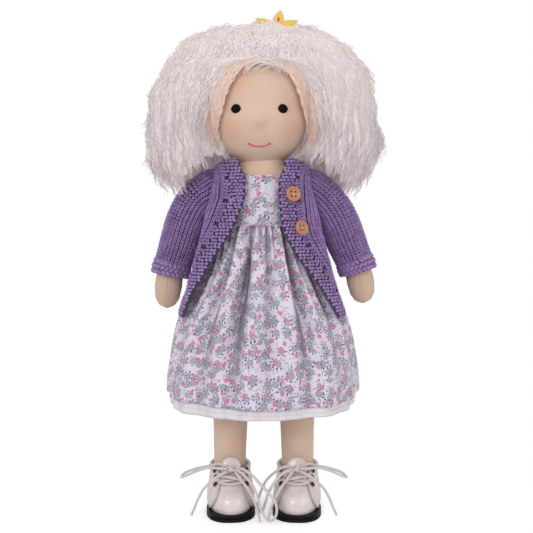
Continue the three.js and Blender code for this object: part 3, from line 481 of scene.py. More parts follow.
@dataclass(frozen=True)
class Wool(Finish):
    """Soft plied wool yarn, with loose fibres and a heathered colour."""

    colour: str = "a986c4"
    dark: str = "8d6ba9"
    light: str = "c8addb"

    def made(self) -> bpy.types.Material:
        """Makes the material.

        Returns:
            The material.
        """
        shader = Shader(self.name, Roughness=0.9, Sheen_Weight=0.35, Sheen_Roughness=0.45)
        place = shader.place()
        tone = shader.mix(shader.noise(place, 5, 2).soft(0.35, 0.7), self.colour, self.dark)
        tone = shader.mix(shader.noise(place, 0.7, 2).soft(0.5, 0.8) * 0.6, tone, self.light)
        x, y, z = shader.parts(place)
        ply = (x * 1.3 + z * 1.1 + y * 1.2).sine(0.85)
        return shader.set(Base_Color=tone, Normal=shader.bump(ply * 0.5 + shader.noise(place, 0.35, 2), 0.22, 0.8))


@dataclass(frozen=True)
class Patent(Finish):
    """Patent leather with soft creases under a gloss coat."""

    colour: str = "e6dad9"
    shade: str = "d4c6c7"

    def made(self) -> bpy.types.Material:
        """Makes the material.

        Returns:
            The material.
        """
        shader = Shader(self.name, Coat_Weight=0.6, Coat_Roughness=0.08, Specular_IOR_Level=0.5)
        place = shader.place()
        colour = shader.mix(shader.noise(place, 9, 3).soft(0.4, 0.75) * 0.6, self.colour, self.shade)
        # Darker towards the bottom, near the sole.
        colour = shader.mix(shader.parts(place)[2].soft(9, 4.5) * 0.35, colour, "a99a9c")
        grain = shader.noise(place, 0.6, 2)
        height = shader.noise(place, 5, 3, 0.6) * 2 + grain * 0.15
        return shader.set(Base_Color=colour, Roughness=grain * 0.1 + 0.2, Normal=shader.bump(height, 0.5, 0.3))


@dataclass(frozen=True)
class Rubber(Finish):
    """Black moulded rubber, dusty at its lower edge."""

    def made(self) -> bpy.types.Material:
        """Makes the material.

        Returns:
            The material.
        """
        shader = Shader(self.name, Specular_IOR_Level=0.2)
        place = shader.place()
        scuff = shader.noise(place, 2.2, 4).soft(0.55, 0.8) * shader.parts(place)[2].soft(2.5, 0)
        colour = shader.mix(scuff * 0.3, "0b0b0c", "28272b")
        grain = shader.bump(shader.noise(place, 0.5, 2), 0.12, 0.5)
        return shader.set(Base_Color=colour, Roughness=scuff * 0.3 + 0.42, Normal=grain)


@dataclass(frozen=True)
class Braid(Finish):
    """Flat braided cotton lace: two sets of strands that cross over along its length, darker between them as painted
    shade.
    """

    colour: str = "efe5e4"
    shade: str = "cbbdbd"

    def made(self) -> bpy.types.Material:
        """Makes the material from the lace's own length and width in millimetres.

        Returns:
            The material.
        """
        shader = Shader(self.name, Roughness=0.85, Sheen_Weight=0.15)
        along, around, _ = shader.parts(shader.cloth())
        along, around = along * (1 / 1.3), around * (1 / 1.42)
        strands = (along + around).sine(1).maths("MAXIMUM", (along - around).sine(1))
        # Painted shade: the lace is darker in the grooves between its strands.
        colour = shader.mix(strands.soft(0.5, -0.2) * 0.6, self.colour, self.shade)
        return shader.set(Base_Color=colour, Normal=shader.bump(strands, 0.25, 0.7))


@dataclass(frozen=True)
class Wood(Finish):
    """Turned pale wood with growth rings and a thin varnish."""

    def made(self) -> bpy.types.Material:
        """Makes the material.

        Returns:
            The material.
        """
        shader = Shader(self.name, Coat_Weight=0.25, Coat_Roughness=0.25)
        place = shader.place()
        x, y, z = shader.parts(place)
        rings = (x * 0.35 + z * 1.5 + shader.noise(place, 6, 2) * 5).sine(1.7)
        pores = shader.noise(shader.vector(x * 0.3, y, z * 3), 1.0, 3)
        colour = shader.mix(rings.soft(-0.6, 1), "c48a68", "ab6f50")
        colour = shader.mix(pores.soft(0.6, 0.8) * 0.5, colour, "935f42")
        return shader.set(Base_Color=colour, Roughness=pores * 0.2 + 0.4, Normal=shader.bump(pores, 0.1, 0.4))


@dataclass(frozen=True)
class Metal(Finish):
    """A plated metal with fine scratches and a tarnish."""

    colour: str = "8b6f4a"
    tarnish: str = "4f3c28"

    def made(self) -> bpy.types.Material:
        """Makes the material.

        Returns:
            The material.
        """
        shader = Shader(self.name, Metallic=1.0)
        place = shader.place()
        worn = shader.noise(place, 1.6, 3)
        colour = shader.mix(worn.soft(0.4, 0.7), self.colour, self.tarnish)
        x, y, z = shader.parts(place)
        scratches = shader.bump(shader.noise(shader.vector(x, y, z * 0.1), 0.25, 2), 0.03, 0.5)
        return shader.set(Base_Color=colour, Roughness=worn * 0.25 + 0.22, Normal=scratches)


@dataclass(frozen=True)
class Thread(Finish):
    """Stranded embroidery or sewing thread, darker beyond a given distance to either side if an edge colour is given.
    """

    colour: str = "101010"
    second: str = "232321"
    edge: str | None = None
    edge_from: float = 6.5

    def made(self) -> bpy.types.Material:
        """Makes the material.

        Returns:
            The material.
        """
        shader = Shader(self.name, Roughness=0.7, Specular_IOR_Level=0.25)
        place = shader.place()
        x, y, z = shader.parts(place)
        strands = (z + x * 0.6 + y * 0.4).sine(0.45)
        colour = shader.mix(strands.soft(-0.5, 1) * 0.7, self.colour, self.second)
        if self.edge:
            out = abs(x + 2.0).soft(self.edge_from, self.edge_from + 1.6)
            colour = shader.mix(out * 0.8, colour, self.edge)
        return shader.set(Base_Color=colour, Normal=shader.bump(strands, 0.1, 0.6))


@dataclass(frozen=True)
class Hair(Finish):
    """Crimped fibre, paler on top and cooler below as painted light and shade, with strands of different tone, glowing
    faintly in its own colour as painted light.
    """

    colour: str = "d6c9c7"
    low: str = "c3b8bb"
    strand: str = "dfd4d2"

    def made(self) -> bpy.types.Material:
        """Makes the material.

        Returns:
            The material.
        """
        # Painted light: the fibre glows faintly in its own colour, which lifts its shade.
        shader = Shader(self.name, Roughness=0.7, Sheen_Weight=0.2, Sheen_Roughness=0.5, Emission_Strength=0.2)
        place = shader.place()
        x, y, z = shader.parts(place)
        # Painted light and shade: paler towards the top of the head, darker and cooler below.
        colour = shader.mix(z.soft(372, 285), self.colour, self.low)
        streaks = shader.noise(shader.vector(x, y, z * 0.08), 2.6, 2)
        colour = shader.mix(streaks.soft(0.42, 0.68), colour, self.strand)
        colour = shader.mix(shader.noise(place, 18, 2).soft(0.5, 0.8) * 0.4, colour, self.low)
        fibres = shader.noise(shader.vector(x, y, z * 0.2), 0.5, 2)
        return shader.set(Base_Color=colour, Emission_Color=colour, Normal=shader.bump(fibres, 0.15, 0.5))


@dataclass(frozen=True)
class Felt(Finish):
    """Petal felt: a bright heart, a tan body and a pale overlocked edge, read from the petal's own map."""

    heart: str = "f7d24e"
    stripe: str = "f7d24e"

    def made(self) -> bpy.types.Material:
        """Makes the material from how far across and along the petal a point is.

        Returns:
            The material.
        """
        shader = Shader(self.name, Roughness=0.9, Sheen_Weight=0.3)
        across, along, _ = shader.parts(shader.node("TexCoord", output=UV_OUTPUT))
        out = abs(across * 2 - 1)
        ring = out.maths("MAXIMUM", abs(along * 2 - 1))
        fuzz = shader.noise(shader.place(), 0.4, 2)
        body = shader.mix(fuzz, "cdb09c", "bd9c86")
        heart = shader.mix(fuzz, self.heart, "efc443")
        colour = shader.mix(ring.soft(0.72, 0.6), body, heart)
        colour = shader.mix(out.soft(0.2, 0.12) * along.soft(0.62, 0.52), colour, self.stripe)
        colour = shader.mix((ring + fuzz * 0.1).soft(0.76, 0.86), colour, "efe6e2")
        return shader.set(Base_Color=colour, Normal=shader.bump(fuzz, 0.3, 0.6))


@dataclass(frozen=True)
class Hole(Finish):
    """Painted shade: the dark inside of an eyelet or buttonhole, on a disc or slot that stands for the opening."""

    colour: str = "1d1712"

    def made(self) -> bpy.types.Material:
        """Makes the material."""
        shader = Shader(self.name, Roughness=0.9)
        return shader.set(Base_Color=shader.mix(shader.noise(shader.place(), 0.8, 2), self.colour, "2e241c"))


FACE_BLUSH = (
    (-26.0, -34.0, 303.0, 17.0, 0.42), (22.0, -34.0, 303.0, 17.0, 0.42), (-18.0, -34.0, 341.0, 20.0, 0.26),
    (-2.0, -43.0, 304.0, 8.0, 0.26), (24.0, -30.0, 318.0, 12.0, 0.16), (-28.0, -30.0, 318.0, 12.0, 0.16),
)
JERSEY = Jersey("limb_jersey", "skin_jersey")
# Painted shade: the face and neck wear a copy of the skin jersey a little darker than the limbs', for the hair's shade
# on the face.
FACE = Jersey("face_jersey", "skin_jersey", colour="d9bca6", warm="d0a590", blushes=FACE_BLUSH)
# Painted shade: a darker copy of the skin jersey for the arms and hands.
SHADED_HAND = Jersey("hand_jersey_painted_shade", "skin_jersey", colour="ceb19c", warm="c39b86")
PRINT = Print("blossom_print", "print_cotton")
COTTON = PlainCotton("lining_cotton", "white_cotton")
WOOL = Wool("cardigan_wool", "purple_wool")
# Painted shade: a dark copy of the wool for the knitting behind the stitches, standing for the shade between them.
SHADED_WOOL = Wool("cardigan_wool_painted_shade", "purple_wool", colour="4a3762", dark="3c2c51", light="5e4a78")
PATENT = Patent("shoe_patent", "white_patent")
# Painted shade: a darker copy of the patent for the quarters' rolled edge.
SHADED_PATENT_EDGE = Patent("shoe_edge_painted_shade", "white_patent", colour="b9abab", shade="a39596")
RUBBER = Rubber("sole_rubber", "black_rubber")
BRAID = Braid("shoe_lace", "lace_cotton")
WOOD = Wood("turned_wood", "button_wood")
BRONZE = Metal("eyelet_bronze", "clip_steel")
STEEL = Metal("sprung_steel", "clip_steel", colour="b9bbc0", tarnish="8e9096")
BLACK_THREAD = Thread("eye_thread", "black_thread", colour="040404", second="0d0d0c")
PINK_THREAD = Thread("mouth_thread", "pink_thread", colour="d9537a", second="ea8aa2", edge="8a3a30")
CREAM_THREAD = Thread("sewing_thread", "button_thread", colour="e7d2c4", second="cdb3a4")
SEAM_THREAD = Thread("seam_thread", "skin_jersey", colour="c9a98b", second="b8967a")
SHOE_THREAD = Thread("shoe_thread", "lace_cotton", colour="d8cbc9", second="b3a2a2")
HAIR = Hair("hair_fibre", "hair")
HAIR_PALE = Hair("hair_pale", "hair", colour="ddd2d0", low="cac0c3", strand="e5dad8")
# Painted shade: a darker copy of the hair for the mass under the strands.
HAIR_UNDER_SHADED = Hair("hair_under_painted_shade", "hair", colour="cdc1c0", low="b9aeb3", strand="d2c7c5")
PEACH = Hair("hair_peach", "hair", colour="e2cabb", low="dcbeac", strand="e2d3cd")
YELLOW_PETAL = Felt("petal_yellow", "petal_felt")
MAGENTA_PETAL = Felt("petal_magenta", "petal_felt", stripe="d01f9a")
PAINTED_HOLE_SHADE = Hole("eyelet_hole", "black_rubber")


# Shapes


class Form:
    """A smooth upright form through oval levels of height, half width, half depth and centre."""

    def __init__(self, levels: Iterable[Sequence[float]], power: float = 2.0, samples: int = 500) -> None:
        """Draws a smooth outline through the levels.

        Args:
            levels: z, a, b and if wanted the centre's x and y, from the bottom up.
            power: 2 for an oval, more for a squarer one.
            samples: how finely the outline is kept.
        """
        rows = np.array([[*level, *([0.0] * (5 - len(level)))] for level in levels], float)
        run = runs(rows[:, :3])
        slope = np.gradient(rows, run, axis=0)
        fine = np.linspace(0, run[-1], samples)
        i = np.clip(np.searchsorted(run, fine) - 1, 0, len(run) - 2)
        h = (run[i + 1] - run[i])[:, None]
        t = (fine - run[i])[:, None] / h
        self.table = curve(t, rows[i], h * slope[i], rows[i + 1], h * slope[i + 1])
        self.table[:, 1:3] = np.maximum(self.table[:, 1:3], 0)
        self.run = runs(self.table[:, :3])
        self.power = power

    @property
    def length(self) -> float:
        """How long the outline is."""
        return float(self.run[-1])

    def at(self, share: float) -> list[float]:
        """The level at a share of the outline."""
        return [float(np.interp(share * self.run[-1], self.run, column)) for column in self.table.T]

    def share_at(self, z: float) -> float:
        """The share of the outline at a height."""
        return float(np.interp(z, self.table[:, 0], self.run)) / self.length

    def level(self, z: float) -> list[float]:
        """The level at a height."""
        return [float(np.interp(z, self.table[:, 0], column)) for column in self.table.T]

    def around(self, level: Sequence[float], angle: float, out: float = 0.0) -> Vector:
        """The point at an angle round a level, from 0 at the front to a right angle at +X.

        Args:
            level: one of the form's levels.
            angle: the angle.
            out: how far outside the form.

        Returns:
            The point.
        """
        z, a, b, x, y = level
        e = 2 / self.power
        across = max(a + out, 0) * signed_power(math.sin(angle), e)
        deep = max(b + out, 0) * signed_power(math.cos(angle), e)
        return Vector((x + across, y - deep, z))

    def point(self, share: float, angle: float, out: float = 0.0) -> Vector:
        """The point at a share of the outline and an angle."""
        return self.around(self.at(share), angle, out)

    def angle_of(self, z: float, x: float) -> float:
        """The angle from the front at which the form is x to the side at a height.

        Args:
            z: its height.
            x: how far it is to the doll's left.

        Returns:
            The angle, with the side's sign.
        """
        _, a, _, centre, _ = self.level(z)
        share = min(1.0, abs(x - centre) / a)
        return math.copysign(math.asin(share ** (self.power / 2)), x - centre)

    def front(self, x: float, z: float, out: float = 0.0) -> Vector:
        """The point on the front at x and z."""
        return self.around(self.level(z), self.angle_of(z, x), out)

    def facing(self, x: float, z: float) -> Vector:
        """The way the front faces at x and z.

        Args:
            x: how far it is to the doll's left.
            z: its height.

        Returns:
            The normal.
        """
        across = self.front(x + 0.8, z) - self.front(x - 0.8, z)
        up = self.front(x, z + 1.5) - self.front(x, z - 1.5)
        return across.cross(up).normalized()


class Route:
    """A smooth line through points, read off by share of its length."""

    def __init__(self, points: Sequence[Sequence[float]], closed: bool = False, steps: int = 40) -> None:
        """Draws a centripetal curve through the points.

        Args:
            points: the points that the line goes through.
            closed: whether it runs back to its start.
            steps: how many steps there are from point to point.
        """
        given = [Vector(p) for p in points]
        if closed:
            ends = [given[-1], *given, given[0], given[1]]
        else:
            ends = [2 * given[0] - given[1], *given, 2 * given[-1] - given[-2]]
        line = []
        for p0, p1, p2, p3 in zip(ends, ends[1:], ends[2:], ends[3:]):
            d0, d1, d2 = (max((b - a).length**0.5, 1e-6) for a, b in ((p0, p1), (p1, p2), (p2, p3)))
            start = ((p1 - p0) / d0 - (p2 - p0) / (d0 + d1) + (p2 - p1) / d1) * d1
            end = ((p2 - p1) / d1 - (p3 - p1) / (d1 + d2) + (p3 - p2) / d2) * d1
            line += [curve(k / steps, p1, start, p2, end) for k in range(steps)]
        self.line = np.array([list(p) for p in (*line, ends[-2])])
        self.run = runs(self.line)

    @property
    def length(self) -> float:
        """How long the line is."""
        return float(self.run[-1])

    def at(self, share: float) -> Vector:
        """The point at a share of the length."""
        return Vector([float(np.interp(share * self.run[-1], self.run, c)) for c in self.line.T])

    def along(self, share: float) -> Vector:
        """The way the line runs at a share of its length."""
        step = 0.004
        return (self.at(min(1, share + step)) - self.at(max(0, share - step))).normalized()

    def points(self, count: int) -> list[Vector]:
        """Points at equal steps."""
        return [self.at(i / (count - 1)) for i in range(count)]


def sheet(columns: int, rows: int, place: Place, lay: Callable | None = None) -> bmesh.types.BMesh:
    """A flat grid of cloth whose corners are moved to their places.

    Args:
        columns: how many faces it has across.
        rows: how many faces it has along.
        place: where a point at u and v, from 0 to 1, goes.
        lay: where it is on the flat cloth, in millimetres, if the finish reads that.

    Returns:
        The mesh, in millimetres.
    """
    made = bmesh.new()
    made.loops.layers.uv.new("UVMap")
    bmesh.ops.create_grid(made, x_segments=columns, y_segments=rows, size=1, calc_uvs=True)
    flat = made.loops.layers.uv.active
    if lay:
        for face in made.faces:
            for loop in face.loops:
                loop[flat].uv = Vector(lay(*loop[flat].uv)) * MM
    for vert in made.verts:
        vert.co = place(round((vert.co.x + 1) / 2, 6), round((vert.co.y + 1) / 2, 6))
    return made


def placed(name: str, data: bpy.types.ID) -> bpy.types.Object:
    """Makes an object of its data and puts it in the scene.

    Args:
        name: the object's name.
        data: its mesh, curve, lamp or camera.

    Returns:
        The object.
    """
    made = bpy.data.objects.new(name, data)
    bpy.context.scene.collection.objects.link(made)
    return made


def cast(made: bmesh.types.BMesh, name: str) -> bpy.types.Mesh:
    """Turns millimetres into metres.

    Args:
        made: the mesh in millimetres, which is used up.
        name: the new mesh's name.

    Returns:
        The mesh in metres.
    """
    bmesh.ops.scale(made, vec=(MM, MM, MM), verts=made.verts)
    mesh = bpy.data.meshes.new(name)
    made.to_mesh(mesh)
    made.free()
    return mesh


def finished(made: bmesh.types.BMesh, name: str, finish: Finish, smooth: bool = True) -> bpy.types.Object:
    """Closes a mesh's seams, turns its faces outwards and makes it a piece of the doll.

    Args:
        made: the mesh in millimetres, which is used up.
        name: the piece's name.
        finish: its finish.
        smooth: whether it is shaded smooth.

    Returns:
        The piece, in metres, at the origin.
    """
    bmesh.ops.remove_doubles(made, verts=made.verts, dist=0.002)
    bmesh.ops.recalc_face_normals(made, faces=made.faces)
    mesh = cast(made, name)
    if smooth:
        mesh.shade_smooth()
    return as_piece(name, mesh, finish)


def as_piece(name: str, data: bpy.types.ID, finish: Finish) -> bpy.types.Object:
    """Makes a mesh or curve a shown piece with its finish and material slot.

    Args:
        name: the piece's name.
        data: the mesh or curve.
        finish: its finish.

    Returns:
        The piece.
    """
    piece = placed(name, data)
    data.materials.clear()
    data.materials.append(finish.material())
    log.info("made %s", name)
    return piece


def thickened(piece: bpy.types.Object, wall: float, inside: Sequence[float] = (0.0, 0.0, 200.0)) -> bpy.types.Object:
    """Gives a sheet its thickness in millimetres, towards a point that it curves round.

    Args:
        piece: the sheet.
        wall: its thickness.
        inside: the point that it curves round.

    Returns:
        The piece.
    """
    middle = Vector(inside) * MM
    outwards = sum(face.normal.dot(face.center - middle) * face.area for face in piece.data.polygons)
    solidify = piece.modifiers.new("thickness", "SOLIDIFY")
    solidify.thickness = wall * MM
    solidify.offset = -1.0 if outwards > 0 else 1.0
    return piece


def poured(part: bmesh.types.BMesh, whole: bmesh.types.BMesh) -> None:
    """Adds one mesh to another and frees it.

    Args:
        part: the mesh to add, which is used up.
        whole: the mesh that grows.
    """
    carrier = bpy.data.meshes.new("part")
    part.to_mesh(carrier)
    part.free()
    whole.from_mesh(carrier)
    bpy.data.meshes.remove(carrier)


def rod(made: bmesh.types.BMesh, radius: float, depth: float, matrix: Matrix, segments: int = 16) -> None:
    """Adds a round rod to a mesh.

    Args:
        made: the mesh that grows.
        radius: the rod's radius.
        depth: its length.
        matrix: its frame.
        segments: how many faces it has round it.
    """
    bmesh.ops.create_cone(
        made, cap_ends=True, segments=segments, radius1=radius, radius2=radius, depth=depth, matrix=matrix
    )


def turned(made: bmesh.types.BMesh, profile: list, steps: int) -> None:
    """Turns a profile of corners and edges about its own Z axis."""
    bmesh.ops.spin(made, geom=profile, cent=(0, 0, 0), axis=(0, 0, 1), angle=TURN, steps=steps, use_merge=True)


def settled(piece: bpy.types.Object) -> bpy.types.Mesh:
    """The mesh of a curve, or of a piece with its modifiers."""
    bpy.context.view_layer.update()
    return bpy.data.meshes.new_from_object(piece.evaluated_get(bpy.context.evaluated_depsgraph_get()))


def two_faced(columns: int, rows: int, place: Callable[[float, float, float], Vector]) -> bmesh.types.BMesh:
    """A face and a back with one outline.

    Args:
        columns: how many faces each has across.
        rows: how many faces each has along.
        place: where a point at u and v goes, on the face or the back.

    Returns:
        The mesh.
    """
    made = sheet(columns, rows, lambda u, v: place(u, v, 1.0))
    poured(sheet(columns, rows, lambda u, v: place(u, v, -1.0)), made)
    return made


class Gathered:
    """Many small shapes, made row by row and kept in one mesh."""

    def __init__(self) -> None:
        """Starts with nothing."""
        self.whole = bmesh.new()
        self.row = bmesh.new()
        self.carrier = bpy.data.meshes.new("row")
        self.count = 0

    def drop(self, centre: Vector, along: Vector, normal: Vector, size: Sequence[float], sides: int = 6) -> None:
        """Adds a rounded length of thread or yarn.

        Args:
            centre: its middle.
            along: the way it runs.
            normal: the way its surface faces.
            size: its half length, half width and half height.
            sides: how many faces it has round it.
        """
        run = along.normalized()
        across = normal.cross(run).normalized()
        out = run.cross(across).normalized()
        matrix = frame_at(centre, across * size[1], out * size[2], run * size[0])
        bmesh.ops.create_uvsphere(self.row, u_segments=sides, v_segments=4, radius=1, matrix=matrix)
        self.count += 1
        if self.count % 6 == 0:
            self.end_row()

    def end_row(self) -> None:
        """Adds what was made last to the rest."""
        self.row.to_mesh(self.carrier)
        self.whole.from_mesh(self.carrier)
        self.row.clear()

    def piece(self, name: str, finish: Finish) -> bpy.types.Object:
        """Makes the whole a piece.

        Args:
            name: the piece's name.
            finish: its finish.

        Returns:
            The piece.
        """
        self.end_row()
        mesh = cast(self.whole, name)
        self.row.free()
        mesh.shade_smooth()
        return as_piece(name, mesh, finish)


def tube(points: Sequence[Vector], radius: float, sides: int = 8, flat: float = 1.0) -> bmesh.types.BMesh:
    """A round or flattened tube along a line, with closed ends.

    Args:
        points: the line, in millimetres.
        radius: the tube's radius, or its half width if it is flat.
        sides: how many faces it has round it.
        flat: its thickness over its width.

    Returns:
        The mesh.
    """
    count = len(points)
    steps = runs(np.array([list(p) for p in points]))
    frames = []
    normal = Vector((0.13, 0.21, 1)).normalized()
    for i in range(count):
        along = (points[min(i + 1, count - 1)] - points[max(i - 1, 0)]).normalized()
        normal = (normal - along * normal.dot(along)).normalized()
        frames.append((normal.copy(), along.cross(normal)))

    def place(u: float, v: float) -> Vector:
        """A point round the tube, with its ends drawn in to a point.

        Args:
            u: the share of the way round.
            v: the share of the way along.

        Returns:
            The point.
        """
        i = round(v * (count + 1)) - 1
        if i in (-1, count):
            return points[min(max(i, 0), count - 1)].copy()
        one, two = frames[i]
        angle = TURN * u
        return points[i] + one * (radius * flat * math.cos(angle)) + two * (radius * math.sin(angle))

    def lay(u: float, v: float) -> tuple[float, float]:
        """How far along and round the tube a point is."""
        i = min(max(v * (count + 1) - 1, 0), count - 1)
        return float(np.interp(i, range(count), steps)), u * TURN * radius

    return sheet(sides, count + 1, place, lay)


# The stuffed body


def stuffed(piece: bpy.types.Object, body: str, nodes: Sequence[str]) -> bpy.types.Object:
    """Sets a stuffed piece of the doll to ride on one body, in place of the nodes that it replaces.

    Args:
        piece: the piece.
        body: the body.
        nodes: the nodes that the piece replaces.

    Returns:
        The piece.
    """
    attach(piece, body)
    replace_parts(piece, *nodes)
    return piece


TORSO = Form(
    [
        (172.9, 0, 0), (173.1, 29, 15), (178.7, 35, 24.1), (192, 36.5, 28), (213.2, 32.5, 27.2),
        (228.9, 31, 26.6), (253.4, 31.8, 25.2), (264.5, 30.7, 23.5), (270, 27.6, 21.8), (274.2, 22.6, 19.6),
        (278.2, 18.4, 18.4), (284.3, 17.6, 17.6), (284.8, 0, 0),
    ],
    2.2,
)
HEAD_X = -2.0
HEAD = Form(
    [
        (z, a, b, HEAD_X)
        for z, a, b in (
            (276.7, 0, 0), (277.1, 7.5, 8.2), (278.6, 15, 15.2), (282.7, 21.6, 22.1), (288.6, 27.6, 29.1),
            (296.8, 33, 35.5), (305.9, 36.6, 39.6), (312.6, 37.5, 41), (319.3, 36.9, 39.5), (326.1, 36.9, 39.3),
            (337.6, 36.4, 39), (349.6, 32.6, 35.9), (359.7, 25.9, 29.9), (367.8, 16.9, 20.5), (372.6, 6, 7.5),
            (373.5, 0, 0),
        )
    ]
)


@dataclass
class Head:
    """The head, its face and the dents and bumps that the sewing draws into it."""

    eye_spacing: float = 36.4
    eye_height: float = 319.3
    nose_height: float = 309.5
    mouth_width: float = 17.6
    mouth_height: float = 292.6
    mouth_sag: float = 2.4
    columns: int = 96
    rows: int = 84

    def relief(self, x: float, z: float) -> float:
        """How far the face stands out at x and z: the nose, the eye dents and the smile's dimples.

        Args:
            x: how far it is to the doll's left.
            z: its height.

        Returns:
            The distance.
        """

        def hump(cx: float, cz: float, wide: float, high: float) -> float:
            """A soft round hump."""
            return math.exp(-(((x - cx) / wide) ** 2) - ((z - cz) / high) ** 2)

        out = 3.4 * hump(HEAD_X, self.nose_height, 6.0, 5.0)
        out += 0.8 * hump(HEAD_X - 22, 301, 11, 9) + 0.8 * hump(HEAD_X + 22, 301, 11, 9)
        for side in (-1, 1):
            out -= 0.5 * hump(HEAD_X + side * self.eye_spacing / 2, self.eye_height, 6, 5)
            out -= 0.7 * hump(HEAD_X + side * self.mouth_width / 2, self.mouth_height, 2, 2)
        out -= 0.25 * hump(HEAD_X, self.mouth_height - 2.4, 8, 1.6)
        return out

    def surface(self, x: float, z: float, out: float = 0.0) -> Vector:
        """The point on the face at x and z."""
        return HEAD.front(x, z) + HEAD.facing(x, z) * (self.relief(x, z) + out)

    def facing(self, x: float, z: float) -> Vector:
        """The way the face looks at x and z.

        Args:
            x: how far it is to the doll's left.
            z: its height.

        Returns:
            The normal.
        """
        across = self.surface(x + 0.6, z) - self.surface(x - 0.6, z)
        up = self.surface(x, z + 0.6) - self.surface(x, z - 0.6)
        return across.cross(up).normalized()

    def skin(self) -> bpy.types.Object:
        """The head itself.

        Returns:
            The piece.
        """

        def place(u: float, v: float) -> Vector:
            """A point of the head, with its face in relief.

            Args:
                u: the share of the way across.
                v: the share of the way along.

            Returns:
                The point.
            """
            angle = (u - 0.5) * TURN
            point = HEAD.point(v, angle)
            if abs(angle) < 1.5:
                point.y -= self.relief(point.x, point.z) * math.cos(angle)
            return point

        piece = finished(sheet(self.columns, self.rows, place), "head_body", FACE)
        return stuffed(piece, "head", ("head_skin", "head_stuffing", "nose_bead"))

    def eye(self, word: str) -> bpy.types.Object:
        """One eye of satin stitches that fill a circle.

        Args:
            word: left or right.

        Returns:
            The piece.
        """
        centre_x = HEAD_X + SIDES[word] * self.eye_spacing / 2
        made = Gathered()
        threads, half_width, half_height = 13, 3.6, 4.1
        for i in range(threads):
            x = (2 * i / (threads - 1) - 1) * half_width * 0.95
            reach = half_height * math.sqrt(max(0.05, 1 - (x / half_width) ** 2))
            facing = self.facing(centre_x + x, self.eye_height)
            rise = 0.6 + 0.6 * math.sqrt(max(0, 1 - (x / half_width) ** 2))
            centre = self.surface(centre_x + x, self.eye_height, 0.5)
            up = self.surface(centre_x + x, self.eye_height + 2) - self.surface(centre_x + x, self.eye_height - 2)
            made.drop(centre, up, facing, (reach * 1.04, 0.42, 1.1 * rise), 8)
        piece = made.piece(f"embroidered_eye_{word}", BLACK_THREAD)
        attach(piece, "head")
        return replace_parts(piece, f"eye_{word}")

    def mouth(self) -> bpy.types.Object:
        """The smile, in backstitches that meet end to end.

        Returns:
            The piece.
        """
        stitches = 7
        made = Gathered()
        for i in range(stitches):
            ends = []
            for k in (i, i + 1):
                t = 2 * k / stitches - 1
                z = self.mouth_height - self.mouth_sag * (1 - t * t)
                ends.append(self.surface(HEAD_X + t * self.mouth_width / 2, z, 0.12))
            middle = (ends[0] + ends[1]) / 2
            half = (ends[1] - ends[0]).length / 2
            size = (half * 1.16, 0.85, 0.8)
            made.drop(middle, ends[1] - ends[0], self.facing(middle.x, middle.z), size, 8)
        piece = made.piece("smile_stitches", PINK_THREAD)
        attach(piece, "head")
        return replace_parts(piece, "mouth_stitch")

    def build(self) -> None:
        """Builds the head and its face."""
        self.skin()
        for word in SIDES:
            self.eye(word)
        self.mouth()


@dataclass
class Torso:
    """The torso, whose neck shows above the dress."""

    columns: int = 64
    rows: int = 60

    def build(self) -> None:
        """Builds the torso."""

        def place(u: float, v: float) -> Vector:
            """A point of the torso."""
            return TORSO.point(v, (u - 0.5) * TURN)

        piece = finished(sheet(self.columns, self.rows, place), "torso_body", FACE)
        stuffed(piece, "torso", ("torso_skin", "torso_stuffing"))


# Knitting


@dataclass
class Cloth:
    """A curved piece of knitting, read off by millimetres across it and a share of its length."""

    rows: list[np.ndarray]

    def __post_init__(self) -> None:
        """Measures each row."""
        self.runs = [runs(row) for row in self.rows]
        self.length = float(runs(np.array([row[len(row) // 2] for row in self.rows]))[-1])

    def width(self, t: float) -> float:
        """How wide it is at a share of its length."""
        return float(np.interp(t * (len(self.rows) - 1), range(len(self.rows)), [run[-1] for run in self.runs]))

    def at(self, across: float, t: float) -> Vector:
        """The point so many millimetres across, at a share of its length.

        Args:
            across: how many millimetres across.
            t: the share of the length.

        Returns:
            The point.
        """
        place = min(max(t, 0), 1) * (len(self.rows) - 1)
        low = min(int(place), len(self.rows) - 2)
        first, second = (
            np.array([np.interp(across, self.runs[i], column) for column in self.rows[i].T]) for i in (low, low + 1)
        )
        return Vector(blended(first, second, place - low))

    def cut(self, first: float = 0.0, last: float = math.inf) -> tuple[float, float]:
        """The flat size of the knitting between two distances across it, in metres."""
        widths = [min(last, run[-1]) - min(first, run[-1]) for run in self.runs]
        return round(sum(widths) / len(widths) * MM, 4), round(self.length * MM, 4)

    def lie(self, across: float, t: float, out: float) -> tuple[Vector, Vector, Vector, Vector]:
        """The point there, and how the knitting lies.

        Args:
            across: how many millimetres across.
            t: the share of the length.
            out: 1 where the cloth's own normal points outwards, or -1.

        Returns:
            The point, and the ways across, down and out.
        """
        here = self.at(across, t)
        side = self.at(across + 0.7, t) - self.at(across - 0.7, t)
        down = self.at(across, t + 0.012) - self.at(across, t - 0.012)
        if side.length < 1e-6:
            side = Vector((1, 0, 0))
        side.normalize()
        down.normalize()
        return here, side, down, side.cross(down).normalized() * out


class Stitch(Enum):
    """The stitches that the cardigan is knitted in."""

    STOCKING = "columns of even V shapes"
    GARTER = "rows of bumps"
    LEAF = "a raised column of leaves with holes between them"


